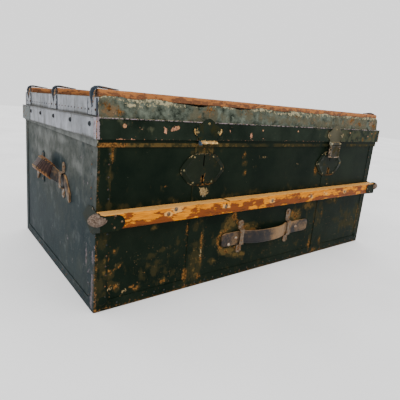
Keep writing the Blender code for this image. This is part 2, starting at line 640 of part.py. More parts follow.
# Lid, modelled shut and then raised to where it stands ajar
lid_axis = pivot_point("lid_axis", (0.0, AXIS_Y, AXIS_Z), turn=LID_AJAR)
board_bottom = LID_TOP - SHEET - GAP - LID_BOARD
rail_top = board_bottom - GAP
rail_step = LEDGE_HEIGHT - SHEET - GAP
rail_out = VALANCE_INNER - GAP
front_rail = [(-HALF_D - rail_out, LID_BOTTOM), (-wall_y, LID_BOTTOM), (-wall_y, rail_top),
              (-inner_y + TIER_SLOPE, rail_top), (-inner_y, rail_step), (-HALF_D - rail_out, rail_step)]
piece("lid_front_rail", profile_along_x(front_rail, -inner_x, inner_x), pine, lid_axis)
piece("lid_back_rail", block((-inner_x, wall_y, LID_BOTTOM), (inner_x, inner_y, rail_top)), pine, lid_axis)
for side, label in ((-1, "left"), (1, "right")):
    outline = [(HALF_W + rail_out, LID_BOTTOM), (wall_x, LID_BOTTOM), (wall_x, rail_top),
               (inner_x, rail_top), (inner_x, rail_step), (HALF_W + rail_out, rail_step)]
    rings = [[Vector((side * a, y, b)) for a, b in outline] for y in (-wall_y + GAP, wall_y - GAP)]
    piece(f"lid_{label}_rail", loft(rings), pine, lid_axis)
edge = DENT_REACH + TIER_SLOPE
board_top = board_bottom + LID_BOARD
board_front = -inner_y + TIER_SLOPE + 2 * GAP
lid_board = [(board_front, board_bottom), (inner_y, board_bottom), (inner_y, board_top),
             (-HALF_D + edge + BOARD_CLEARANCE, board_top), (board_front, LID_TOP - DENT_DEPTH - BOARD_CLEARANCE)]
piece("lid_top_board", profile_along_x(lid_board, -inner_x, inner_x), pine, lid_axis)


def dent(x):
    """How far the front top edge is crushed at x."""
    hits = ((-0.245, 0.085, 1.00), (-0.130, 0.060, 0.92), (-0.390, 0.045, 0.35), (0.000, 0.050, 0.55),
            (0.120, 0.040, 0.30), (0.240, 0.060, 0.42), (0.345, 0.030, 0.25))
    deepest = max(depth * max(0.0, 1 - ((x - place) / reach) ** 2) ** 2 for place, reach, depth in hits)
    return DENT_DEPTH * deepest


def tier_ring(inset, z, front, crushed):
    """One level of the lid's upper sheet."""
    ring = rectangle(-HALF_W + inset, HALF_W - inset, -HALF_D + inset + front, HALF_D - inset, z,
                     max(0.0018 - 1.5 * inset, 0.0006), 36, dent if crushed else None)
    for point in ring:
        if z == tier_foot and point.y > HALF_D - inset - 0.0001:
            point.z = LID_BOTTOM
    return ring


tier_foot = LEDGE_HEIGHT + GAP
sheet_under = LID_TOP - SHEET
top_rings = [tier_ring(DENT_REACH, sheet_under, TIER_SLOPE, False),
             tier_ring(SHEET, sheet_under, TIER_SLOPE, True),
             tier_ring(SHEET, tier_foot, 0.0, False),
             tier_ring(0.0, tier_foot, 0.0, False),
             tier_ring(0.0, LID_TOP - 0.0020, TIER_SLOPE, True),
             tier_ring(0.0006, LID_TOP - 0.0006, TIER_SLOPE, True),
             tier_ring(0.0020, LID_TOP, TIER_SLOPE, True),
             tier_ring(DENT_REACH, LID_TOP, TIER_SLOPE, False)]
piece("lid_top_skin", loft(top_rings), green_paint, lid_axis)
# Valance: an overhanging lip with a rolled bead along its top
bead_centre = (VALANCE_OVERHANG - BEAD_RADIUS * 0.2, LEDGE_HEIGHT - BEAD_RADIUS * 0.4)
bead = arc(bead_centre, BEAD_RADIUS, -75, 110, 6)
valance = [(VALANCE_INNER, VALANCE_BOTTOM), (VALANCE_OVERHANG, VALANCE_BOTTOM), *bead,
           (GAP, LEDGE_HEIGHT), (GAP, LEDGE_HEIGHT - SHEET), (VALANCE_INNER, LEDGE_HEIGHT - SHEET)]


def valance_ring(place):
    return [place(out, z) for out, z in valance]


mitre = [valance_ring(lambda out, z, s=s: Vector((s * (HALF_W + out - GAP / 2), -HALF_D - out, z)))
         for s in (-1, 1)]
piece("valance_front", loft(mitre), green_paint, lid_axis)
for side, label in ((-1, "left"), (1, "right")):
    rings = [valance_ring(lambda out, z: Vector((side * (HALF_W + out), -HALF_D - out + GAP, z))),
             valance_ring(lambda out, z: Vector((side * (HALF_W + out), HALF_D, z)))]
    piece(f"valance_{label}", loft(rings), green_paint, lid_axis)

# Plates over the valance's back corners
for side, label in ((-1, "left"), (1, "right")):
    back = HALF_D - GAP
    front_end = HALF_D - CORNER_PLATE_LENGTH
    low, high = VALANCE_BOTTOM + GAP, LEDGE_HEIGHT - 2 * BEAD_RADIUS
    turn = CORNER_PLATE_ROUND
    outline = [(back, low), (back, high)]
    outline += arc((front_end + turn, high - turn), turn, 90, 180, 3)
    outline += arc((front_end + turn, low + turn), turn, 180, 270, 3)

    def corner_place(a, b, out, side=side):
        return on_end(side, a, b, out)
    piece(f"lid_corner_plate_{label}", plate(outline, corner_place, VALANCE_OVERHANG + GAP, SHEET),
          worn_steel, lid_axis)

# Slats with rounded upper edges
slat_end = HALF_W - SLAT_END_INSET
for y, label in zip(SLAT_ROWS, ("front", "middle", "back")):
    half = SLAT_WIDTH / 2
    outline = [(y + half, SLAT_BOTTOM)]
    outline += arc((y + half - SLAT_ROUND, SLAT_TOP - SLAT_ROUND), SLAT_ROUND, 0, 90, 4)
    outline += arc((y - half + SLAT_ROUND, SLAT_TOP - SLAT_ROUND), SLAT_ROUND, 90, 180, 4)
    outline += [(y - half, SLAT_BOTTOM)]
    piece(f"slat_{label}", profile_along_x(outline, -slat_end, slat_end), slat_wood, lid_axis)


def clip_hood(side, y):
    """Arched hood over a slat's end, from a pointed boss on the plate to a long tapering tongue."""
    plate_face = GAP + CLIP_SHEET + 0.0004
    top = SLAT_TOP
    # crown height out from the end face, crown height, inward way (x, z), drop to the edge, half width
    stations = [(plate_face + 0.0002, top - 0.0280, 0.0, 0.0001, 0.0012),
                (plate_face + 0.0017, top - 0.0220, 0.0, 0.0017, 0.0062),
                (plate_face + 0.0034, top - 0.0140, 0.0, 0.0034, 0.0092),
                (plate_face + 0.0036, top - 0.0060, 0.05, 0.0034, 0.0105),
                (plate_face + 0.0010, top + 0.0010, 0.50, 0.0034, 0.0107),
                (plate_face - 0.0045, top + 0.0046, 0.95, 0.0030, 0.0105),
                (-0.0100, top + 0.0055, 1.0, 0.0030, 0.0100),
                (-0.0190, top + 0.0047, 1.0, 0.0025, 0.0090),
                (-0.0320, top + 0.0032, 1.0, 0.0014, 0.0068),
                (-CLIP_TONGUE, top + 0.0018, 1.0, 0.0002, 0.0022)]
    rings = []
    for out, z, down, drop, half in stations:
        inward = Vector((-side * (1 - down), 0, -down)).normalized()
        crown = on_end(side, y, z, out)
        upper, lower = [], []
        for i in range(7):
            share = -1 + 2 * i / 6
            point = crown + Vector((0, half * share, 0)) + inward * drop * share * share
            upper.append(point)
            lower.append(point + inward * CLIP_SHEET)
        rings.append(upper + lower[::-1])
    return loft(rings)


for side, label in ((-1, "left"), (1, "right")):
    for y, where in zip(SLAT_ROWS, ("front", "middle", "back")):
        half = CLIP_PLATE_WIDTH / 2
        low, high = LEDGE_HEIGHT + CLIP_PLATE_BOTTOM, LID_TOP - 0.002
        narrow = half - 0.002
        outline = [(y - half, low), (y + half, low), (y + half, high - 0.008),
                   (y + narrow, high), (y - narrow, high), (y - half, high - 0.008)]

        def clip_place(a, b, out, side=side):
            return on_end(side, a, b, out)
        clip = piece(f"slat_clip_{where}_{label}", plate(outline, clip_place, GAP, CLIP_SHEET), dark_iron, lid_axis)
        combine(clip, clip_hood(side, y), "UNION", lid_axis)


def rolled(radius, sheet, reach, hand, centre_y, centre_z):
    """Outline (y, z) of a leaf whose end is rolled round a pin; hand is +1 when the leaf goes up."""
    inner = radius - sheet
    outline = [(-radius, reach), (-radius, 0.0)]
    outline += arc((0, 0), radius, 195, 462, 12)
    outline += arc((0, 0), inner, 462, 180, 10)
    outline += [(-inner, reach)]
    return [(centre_y + a, centre_z + hand * b) for a, b in outline]


# Hinges: leaves with rolled knuckles on common pins
bore_wall = HINGE_RADIUS - PIN_RADIUS - PIN_CLEARANCE
third = HINGE_WIDTH / 3
pin_ring = arc((AXIS_Y, AXIS_Z), PIN_RADIUS, 0, 330, 11)
reach = HINGE_RADIUS + 2 * GAP
for x, label in ((-HINGE_SPACING / 2, "left"), (HINGE_SPACING / 2, "right")):
    x0, x1 = x - HINGE_WIDTH / 2, x + HINGE_WIDTH / 2
    leaf_down = profile_along_x(rolled(HINGE_RADIUS, bore_wall, HINGE_LEAF, -1, AXIS_Y, AXIS_Z), x0, x1)
    leaf_up = profile_along_x(rolled(HINGE_RADIUS, bore_wall, HINGE_LEAF, 1, AXIS_Y, AXIS_Z), x0, x1)
    case_leaf = piece(f"case_hinge_leaf_{label}", leaf_down, dark_iron)
    lid_leaf = piece(f"lid_hinge_leaf_{label}", leaf_up, dark_iron, lid_axis)

    def knuckle_space(low, high):
        return block((low, AXIS_Y - 2 * HINGE_RADIUS, AXIS_Z - reach), (high, AXIS_Y + 2 * HINGE_RADIUS, AXIS_Z + reach))
    combine(case_leaf, knuckle_space(x - third / 2 - GAP, x + third / 2 + GAP), "DIFFERENCE")
    combine(lid_leaf, knuckle_space(x0 - 0.001, x - third / 2 + GAP), "DIFFERENCE", lid_axis)
    combine(lid_leaf, knuckle_space(x + third / 2 - GAP, x1 + 0.001), "DIFFERENCE", lid_axis)
    piece(f"hinge_pin_{label}", profile_along_x(pin_ring, x0 + PIN_INSET, x1 - PIN_INSET), worn_steel)

# Hasp plates on the valance, each with a knuckle rolled below it
x_pin = arc((knuckle_y, knuckle_z), PIN_RADIUS, 0, 330, 11)
hasp_half = HASP_WIDTH / 2
shoulder = HASP_HEIGHT * 0.43
hasp_foot = KNUCKLE_LENGTH / 2 - 0.0005
hasp_outline = [(hasp_foot, -0.0035), (hasp_foot + 0.0015, 0.0040), (hasp_half - 0.0035, shoulder - 0.006),
                (hasp_half, shoulder), (hasp_half - 0.0025, shoulder + 0.005),
                (hasp_half - 0.0095, shoulder + 0.008), (hasp_half - 0.0165, HASP_HEIGHT - 0.0125),
                (hasp_half - 0.0225, HASP_HEIGHT - 0.0065), (hasp_half - 0.0295, HASP_HEIGHT - 0.0020),
                (0.0, HASP_HEIGHT)]
hasp_outline += [(-a, b) for a, b in reversed(hasp_outline[:-1])]
knuckle_roll = rolled(KNUCKLE_RADIUS, hasp_wall, KNUCKLE_DROP, 1, 0.0, 0.0)
knuckle_outline = [(knuckle_y - a, knuckle_z + b) for a, b in knuckle_roll]
leaf_reach = KNUCKLE_RADIUS + 0.003
leaf_roll = rolled(KNUCKLE_RADIUS, hasp_wall, leaf_reach, -1, 0.0, 0.0)
leaf_outline = [(knuckle_y - a, knuckle_z + b) for a, b in leaf_roll]
for lock_x, label in ((LEFT_LOCK, "left"), (RIGHT_LOCK, "right")):
    outline = [(lock_x + a, VALANCE_BOTTOM + b) for a, b in hasp_outline]
    hasp = piece(f"hasp_plate_{label}", plate(outline, on_front, plate_out, HASP_SHEET), green_paint, lid_axis)
    x0, x1 = lock_x - KNUCKLE_LENGTH / 2, lock_x + KNUCKLE_LENGTH / 2
    combine(hasp, profile_along_x(knuckle_outline, x0, x1), "UNION", lid_axis)
    if label == "right":
        notch = block((lock_x - leaf_knuckle / 2 - GAP, knuckle_y - 0.01, knuckle_z - 0.01),
                      (lock_x + leaf_knuckle / 2 + GAP, knuckle_y + 0.01, knuckle_z + KNUCKLE_RADIUS + GAP))
        combine(hasp, notch, "DIFFERENCE", lid_axis)
        piece("hasp_pin", profile_along_x(x_pin, x0 + PIN_INSET, x1 - PIN_INSET), worn_steel, lid_axis)

# Swinging leaf of the right hasp: a boxed plate with a framed face and a staple on its back
leaf_axis = pivot_point("leaf_axis", (RIGHT_LOCK, knuckle_y, knuckle_z), lid_axis, -LID_AJAR)
leaf_half = LEAF_WIDTH / 2
leaf_top = knuckle_z - KNUCKLE_RADIUS - 0.0005
leaf_low = knuckle_z - eye_drop - STAPLE_HEIGHT / 2 - LEAF_BELOW_STAPLE
leaf_rings = []
for inset, out in ((0.0, -LEAF_THICKNESS / 2), (0.0, LEAF_THICKNESS / 2 - 0.0008), (0.0008, LEAF_THICKNESS / 2),
                   (0.0042, LEAF_THICKNESS / 2), (0.0050, LEAF_THICKNESS / 2 - 0.0011)):
    ring = rectangle(-leaf_half + inset, leaf_half - inset, leaf_low + inset, leaf_top - inset, 0.0,
                     max(0.0030 - inset, 0.0010))
    leaf_rings.append([Vector((RIGHT_LOCK + p.x, knuckle_y - out, p.y)) for p in ring])
leaf = piece("hasp_leaf", loft(leaf_rings), dark_iron, leaf_axis, pivot=(RIGHT_LOCK, knuckle_y, knuckle_z))
leaf_knuckle_x = (RIGHT_LOCK - leaf_knuckle / 2, RIGHT_LOCK + leaf_knuckle / 2)
combine(leaf, profile_along_x(leaf_outline, *leaf_knuckle_x), "UNION", leaf_axis)
staple = block((RIGHT_LOCK - STAPLE_THICKNESS / 2, knuckle_y + LEAF_THICKNESS / 2 - 0.0008,
                knuckle_z - eye_drop - STAPLE_HEIGHT / 2),
               (RIGHT_LOCK + STAPLE_THICKNESS / 2, knuckle_y + staple_tip,
                knuckle_z - eye_drop + STAPLE_HEIGHT / 2))
combine(leaf, staple, "UNION", leaf_axis)
eye_z = knuckle_z - eye_drop
eye = block((RIGHT_LOCK - 0.01, knuckle_y + staple_tip - STAPLE_TIP_WALL - STAPLE_EYE, eye_z - STAPLE_EYE_HALF),
            (RIGHT_LOCK + 0.01, knuckle_y + staple_tip - STAPLE_TIP_WALL, eye_z + STAPLE_EYE_HALF))
combine(leaf, eye, "DIFFERENCE", leaf_axis)
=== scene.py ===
import json
import math
import random

import bmesh
import bpy
from mathutils import Matrix, Vector, noise
from mathutils.bvhtree import BVHTree


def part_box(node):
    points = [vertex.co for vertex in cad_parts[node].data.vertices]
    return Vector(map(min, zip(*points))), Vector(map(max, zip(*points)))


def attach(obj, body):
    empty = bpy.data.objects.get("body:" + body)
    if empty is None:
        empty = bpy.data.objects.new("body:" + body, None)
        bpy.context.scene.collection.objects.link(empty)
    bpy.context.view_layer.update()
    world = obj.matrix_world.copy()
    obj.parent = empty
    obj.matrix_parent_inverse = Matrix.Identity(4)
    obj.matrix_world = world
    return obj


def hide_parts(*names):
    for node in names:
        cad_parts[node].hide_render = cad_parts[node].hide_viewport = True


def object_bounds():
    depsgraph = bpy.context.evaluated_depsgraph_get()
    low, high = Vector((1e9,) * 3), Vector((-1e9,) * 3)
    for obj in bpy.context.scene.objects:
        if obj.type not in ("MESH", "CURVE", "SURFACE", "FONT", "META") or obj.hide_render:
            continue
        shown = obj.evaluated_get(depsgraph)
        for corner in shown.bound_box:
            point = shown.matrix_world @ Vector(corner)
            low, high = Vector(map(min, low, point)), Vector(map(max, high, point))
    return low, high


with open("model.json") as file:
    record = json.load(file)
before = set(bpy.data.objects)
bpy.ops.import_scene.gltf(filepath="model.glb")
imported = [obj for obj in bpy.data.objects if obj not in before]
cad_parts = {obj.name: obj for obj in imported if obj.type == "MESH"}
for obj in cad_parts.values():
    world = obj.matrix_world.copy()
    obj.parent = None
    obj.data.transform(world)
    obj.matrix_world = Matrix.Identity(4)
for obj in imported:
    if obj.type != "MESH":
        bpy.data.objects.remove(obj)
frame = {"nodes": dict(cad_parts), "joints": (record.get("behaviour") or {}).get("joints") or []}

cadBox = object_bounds()
nodes = frame["nodes"]
caseLow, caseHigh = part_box("case_skin")
left, right, front, back = caseLow.x, caseHigh.x, caseLow.y, caseHigh.y
lidHinge = next(joint for joint in frame["joints"] if joint["name"] == "lid_hinge")
lidAxis = Vector(lidHinge["pos_m"])
lidAjar = math.radians(-lidHinge["range_deg"][0])  # how far the lid stands open at rest
lidTurn = Matrix.Translation(lidAxis) @ Matrix.Rotation(-lidAjar, 4, "X") @ Matrix.Translation(-lidAxis)
lidShut = lidTurn.inverted()
print("frame loaded", len(nodes), "nodes")


def linearColor(code):
    channels = [int(code[i:i + 2], 16) / 255 for i in (1, 3, 5)]
    return tuple(c / 12.92 if c <= 0.04045 else ((c + 0.055) / 1.055) ** 2.4 for c in channels) + (1.0,)


def setNode(node, settings):
    # A setting is a property, a number, a colour code, or the node or socket that its input is linked to
    for key, value in settings.items():
        if isinstance(value, bpy.types.Node):
            value = next(output for output in value.outputs if output.enabled)
        if isinstance(value, bpy.types.NodeSocket):
            node.id_data.links.new(value, node.inputs[key])
        elif isinstance(key, str) and hasattr(node, key):
            setattr(node, key, value)
        else:
            node.inputs[key].default_value = linearColor(value) if isinstance(value, str) else value
    return node


def addNode(tree, kind, settings=None):
    return setNode(tree.nodes.new("ShaderNode" + kind), settings or {})


def newFinish(name):
    made = bpy.data.materials.new(name)
    made.use_nodes = True
    tree = made.node_tree
    tree.nodes.clear()
    shader = addNode(tree, "BsdfPrincipled")
    addNode(tree, "OutputMaterial", {"Surface": shader})
    return made, tree, shader, addNode(tree, "TexCoord").outputs["Object"]


def wearAmounts(tree):
    # The piece's own wear: rust or held varnish, bare or rubbed, film or dirt, and pale
    wear = addNode(tree, "Attribute", {"attribute_name": "wear"})
    return (*addNode(tree, "SeparateColor", {"Color": wear}).outputs, wear.outputs["Alpha"])


def clouds(tree, place, grain, low, high, detail=3.0, rough=0.5):
    # Cloudy noise with clouds of the given size in millimetres, and the same stretched from low to high
    cloud = addNode(tree, "TexNoise", {"Scale": 1000 / grain, "Detail": detail, "Roughness": rough,
                                       "Vector": place})
    return cloud, addNode(tree, "MapRange", {"From Min": low, "From Max": high, "Value": cloud})


def patchMask(tree, place, amount, grain, spread, soft, edge=0.5):
    # Turns a slow 0 to 1 amount into ragged patches; grain is their size in millimetres
    speck = addNode(tree, "TexNoise", {"Scale": 1000 / grain, "Detail": 4.0, "Roughness": 0.62,
                                       "Vector": place})
    centred = addNode(tree, "Math", {"operation": "SUBTRACT", 0: speck, 1: 0.5})
    raised = addNode(tree, "Math", {"operation": "MULTIPLY_ADD", 0: centred, 1: spread, 2: amount})
    return addNode(tree, "MapRange", {"interpolation_type": "SMOOTHSTEP", "From Min": edge - soft,
                                      "From Max": edge + soft, "Value": raised})


def layered(tree, colour, layers):
    # Lays each further colour over those below it, by its share
    for share, over in layers:
        colour = addNode(tree, "Mix", {"data_type": "RGBA", 0: share, 6: colour, 7: over})
    return colour


def joinShader(tree, shader, look, colour, rough, height, strength, depth):
    # Joins colour, roughness and relief to the shader; the depth of the relief is in millimetres
    bump = addNode(tree, "Bump", {"Strength": strength, "Distance": depth / 1000, "Height": height})
    setNode(shader, {"Base Color": colour, "Roughness": rough, "Specular IOR Level": look["level"],
                     "Normal": bump})


# Looks of the painted sheet iron: sizes of patterns and depth of relief in millimetres
enamel = {
    "paint": "#08120b", "paintWorn": "#141c13", "film": "#2a2716", "filmStrong": "#4e3e20", "pale": "#8f8b76",
    "bareDark": "#5b492d", "bareLight": "#8f7a56", "rustDark": "#2e1f11", "rustBright": "#785228",
    "rough": 0.42, "level": 0.03, "paleMix": 0.8, "speckle": 1.7, "relief": 0.7, "ripple": 0.3,
    "filmGrain": 11, "filmSoft": 0.15, "stainGrain": 10, "paleGrain": 6, "paleSoft": 0.12, "chipGrain": 4,
    "fleck": 3.2, "metalGrain": 3.2, "hollow": 14, "mottle": 90, "mottleEnds": (0.36, 0.66)}
endEnamel = dict(
    enamel, paint="#152024", paintWorn="#232d2f", film="#383c39", filmStrong="#4a4c48", pale="#6c6e6c",
    bareDark="#3c3a3c", bareLight="#6a6266", rustDark="#2c2622", rustBright="#5e4834", rough=0.45,
    level=0.018, speckle=1.4, ripple=0.8, filmSoft=0.5, paleSoft=0.45, paleGrain=35)
bindingEnamel = dict(enamel, bareDark="#322a24", bareLight="#6e5440", metalGrain=10)
lidEnamel = dict(
    enamel, paint="#171f17", paintWorn="#5b6155", film="#4a4737", filmStrong="#604c34", pale="#9a9070",
    bareDark="#4c3f30", bareLight="#94785a", level=0.05, relief=2.6, ripple=2.8, mottle=16,
    mottleEnds=(0.34, 0.66))
lidTopEnamel = dict(lidEnamel, mottle=70, mottleEnds=(0.34, 0.68), relief=1.2)
lipEnamel = dict(enamel, paint="#0c150e", paintWorn="#1e261d", film="#3a3c2c", bareDark="#6c4c3a",
                 bareLight="#b07e62", pale="#86787c")
# The lid's ends are light grey: dust and a painted sheen of their glossy paint
lidEndDustAndSheenEnamel = dict(
    endEnamel, paint="#616469", paintWorn="#7f8287", film="#54544f", filmStrong="#3a3834", pale="#96989f",
    bareDark="#5c5058", bareLight="#94888e", level=0.03, relief=0.3, ripple=0.6)
plateEnamel = dict(enamel, paint="#0c140d", paintWorn="#191e14", film="#23220f", bareDark="#5a4c34",
                   bareLight="#8a7a5c", rough=0.34, level=0.04)
haspEnamel = dict(plateEnamel, paint="#2e2d1f", paintWorn="#4a4636", film="#3c3623")
darkHaspEnamel = dict(lipEnamel, bareDark="#7a5830", bareLight="#c8a468", film="#23220f", pale="#3c4c5c")
capEnamel = dict(enamel, bareDark="#44362c", bareLight="#6e6056", rustDark="#2c1e14", rustBright="#543c28")
clipEnamel = dict(
    enamel, paint="#0a131b", paintWorn="#16212b", bareDark="#4a3628", bareLight="#98744e", pale="#74777c",
    paleMix=1.0, rustDark="#2a1c12", rustBright="#5e4028", level=0.08)
leafEnamel = dict(enamel, paint="#2a2a26", paintWorn="#4a463e", bareLight="#b09a88")


def weatheredEnamel(name, look):
    # Brushed enamel on sheet iron: glossy where sound, dull where filmed, chipped to metal, rusted at seams
    made, tree, shader, place = newFinish(name)
    rustAmount, bareAmount, filmAmount, paleAmount = wearAmounts(tree)
    streaks = addNode(tree, "Mapping", {"Scale": (0.6, 0.6, 0.4), "Vector": place})
    film = patchMask(tree, streaks, filmAmount, look["filmGrain"], 1.7, look["filmSoft"])
    strong = patchMask(tree, place, filmAmount, look["stainGrain"], 2.2, look["filmSoft"], 0.85)
    pale = patchMask(tree, place, paleAmount, look["paleGrain"], 1.8, look["paleSoft"])
    bare = patchMask(tree, place, bareAmount, look["chipGrain"], 1.6, 0.06)
    rust = patchMask(tree, place, rustAmount, look["chipGrain"], look["speckle"], 0.08)
    _, broadRange = clouds(tree, place, look["mottle"], *look["mottleEnds"], 6.0, 0.66)
    fine, fineRange = clouds(tree, place, look["fleck"], 0.36, 0.64, 3.0, 0.55)
    _, sheenRange = clouds(tree, place, look["metalGrain"], 0.36, 0.64)
    filmShare = addNode(tree, "Math", {"operation": "MULTIPLY", 0: film, 1: 0.85})
    paleShare = addNode(tree, "Math", {"operation": "MULTIPLY", 0: pale, 1: look["paleMix"]})
    paint, stain, metal, oxide = (
        addNode(tree, "Mix", {"data_type": "RGBA", 0: share, 6: look[dark], 7: look[light]})
        for share, dark, light in (
            (broadRange, "paint", "paintWorn"), (strong, "film", "filmStrong"),
            (sheenRange, "bareDark", "bareLight"), (fineRange, "rustDark", "rustBright")))
    colour = layered(tree, paint, (
        (filmShare, stain), (paleShare, look["pale"]), (bare, metal), (rust, oxide)))
    rough = look["rough"]
    for share, over in ((filmShare, look["rough"] + 0.22), (bare, 0.62), (rust, 0.88)):
        rough = addNode(tree, "Mix", {"data_type": "FLOAT", 0: share, 2: rough, 3: over})
    pit = addNode(tree, "Math", {"operation": "MULTIPLY", 0: rust, 1: fine})
    lost = addNode(tree, "Math", {"operation": "MULTIPLY_ADD", 0: bare, 1: -0.6, 2: pit})
    flake = addNode(tree, "Math", {"operation": "MULTIPLY_ADD", 0: pale, 1: 0.5, 2: lost})
    hollow = addNode(tree, "TexNoise", {"Scale": 1000 / look["hollow"], "Detail": 4.0, "Roughness": 0.6,
                                        "Vector": place})
    waved = addNode(tree, "Math", {"operation": "MULTIPLY_ADD", 0: hollow, 1: look["ripple"], 2: flake})
    height = addNode(tree, "Math", {"operation": "MULTIPLY_ADD", 0: fine, 1: 0.15, 2: waved})
    joinShader(tree, shader, look, colour, rough, height, 0.6, look["relief"])
    return made


# Looks of the timber: grain and patches in millimetres; low is the share of varnish that holds everywhere
battenLook = {
    "wood": "#9a5806", "woodLight": "#cc7e08", "varnish": "#6c3612", "dark": "#33200e", "bruise": "#c08c4a",
    "grain": 1.6, "patch": 11, "low": 0.44, "rough": 0.45, "level": 0.06}
slatLook = {
    "wood": "#7a4a28", "woodLight": "#986234", "varnish": "#643e26", "dark": "#3a2818", "bruise": "#c09468",
    "grain": 1.5, "patch": 6, "low": 0.34, "rough": 0.5, "level": 0.12}
pineLook = {
    "wood": "#7c5c38", "woodLight": "#a08054", "varnish": "#84643c", "dark": "#6c5030", "bruise": "#b89468",
    "grain": 3, "patch": 140, "low": 0.32, "rough": 0.75, "level": 0.2}


def varnishedWood(name, look):
    # Sawn wood under old varnish: long grain, brown where the varnish holds, pale where it is rubbed off
    made, tree, shader, place = newFinish(name)
    varnishAmount, rubbedAmount, dirtAmount, _ = wearAmounts(tree)
    along = addNode(tree, "Mapping", {"Scale": (0.06, 1.0, 1.0), "Vector": place})
    stretched = addNode(tree, "Mapping", {"Scale": (0.45, 1.0, 1.0), "Vector": place})
    fibre, fibreRange = clouds(tree, along, look["grain"], 0.34, 0.66, 3.0, 0.6)
    varnishRange = addNode(tree, "MapRange", {"From Min": 0.25, "From Max": 0.5, "Value": fibre})
    held = addNode(tree, "Math", {"operation": "ADD", 0: varnishAmount, 1: look["low"]})
    patches = patchMask(tree, stretched, held, look["patch"], 2.0, 0.08)
    rubbed = patchMask(tree, stretched, rubbedAmount, 4, 1.4, 0.15)
    dirt = patchMask(tree, place, dirtAmount, 3.5, 1.5, 0.14)
    wood = addNode(tree, "Mix", {"data_type": "RGBA", 0: fibreRange, 6: look["wood"], 7: look["woodLight"]})
    varnish = addNode(tree, "Mix", {"data_type": "RGBA", 0: varnishRange, 6: look["dark"],
                                    7: look["varnish"]})
    colour = layered(tree, wood, ((patches, varnish), (rubbed, look["bruise"]), (dirt, look["dark"])))
    rough = addNode(tree, "Mix", {"data_type": "FLOAT", 0: patches, 2: look["rough"] + 0.12,
                                  3: look["rough"]})
    relief = addNode(tree, "Math", {"operation": "MULTIPLY_ADD", 0: patches, 1: 0.5, 2: fibre})
    joinShader(tree, shader, look, colour, rough, relief, 0.5, 0.6)
    return made


def agedMetal(name, look):
    # Small iron fittings: grey metal, brown oxide in patches, rubbed brighter in spots
    made, tree, shader, place = newFinish(name)
    rust = patchMask(tree, place, look["cover"], 6, 1.5, 0.10)
    fine, fineRange = clouds(tree, place, 3, 0.35, 0.65)
    metal = addNode(tree, "Mix", {"data_type": "RGBA", 0: fineRange, 6: look["metal"], 7: look["metalLight"]})
    oxide = addNode(tree, "Mix", {"data_type": "RGBA", 0: fineRange, 6: look["rustDark"],
                                  7: look["rustBright"]})
    rough = addNode(tree, "Mix", {"data_type": "FLOAT", 0: rust, 2: look["rough"], 3: 0.85})
    setNode(shader, {"Metallic": look["metallic"]})
    joinShader(tree, shader, look, layered(tree, metal, ((rust, oxide),)), rough, fine, 0.5, 0.5)
    return made


def oldLeather(name, look):
    # Vegetable-tanned strap leather, dried and polished by hands: fine creases, lighter where it has rubbed
    made, tree, shader, place = newFinish(name)
    _, rubbedAmount, dirtAmount, _ = wearAmounts(tree)
    pores = addNode(tree, "TexVoronoi", {"Scale": 1000 / 2.2, "Vector": place})
    blotch, blotchRange = clouds(tree, place, 20, 0.35, 0.66, 5.0, 0.65)
    hide = addNode(tree, "Mix", {"data_type": "RGBA", 0: blotchRange, 6: look["dark"], 7: look["brown"]})
    rubbed = patchMask(tree, place, rubbedAmount, 6, 0.7, 0.34)
    # A wave repeats every 0.314 m / Scale, and the ribs are 4.5 mm apart
    ribs = addNode(tree, "TexWave", {"bands_direction": look["ribs"], "Scale": 314 / 4.5, "Distortion": 2.2,
                                     "Detail": 2.0, "Detail Scale": 1.5, "Vector": place}).outputs["Fac"]
    # Darker valleys between the ribs are painted shade in the creases
    valleys = addNode(tree, "Math", {"operation": "MULTIPLY", 0: ribs, 1: look["ribShade"]})
    colour = layered(tree, hide, (
        (rubbed, look["rubbed"]), (valleys, look["deep"]), (dirtAmount, look["deep"])))
    pressed = addNode(tree, "Math", {"operation": "MULTIPLY_ADD", 0: ribs, 1: look["pressed"], 2: pores})
    creases = addNode(tree, "Math", {"operation": "ADD", 0: pressed, 1: blotch})
    joinShader(tree, shader, look, colour, look["rough"], creases, 0.45, 0.5)
    return made


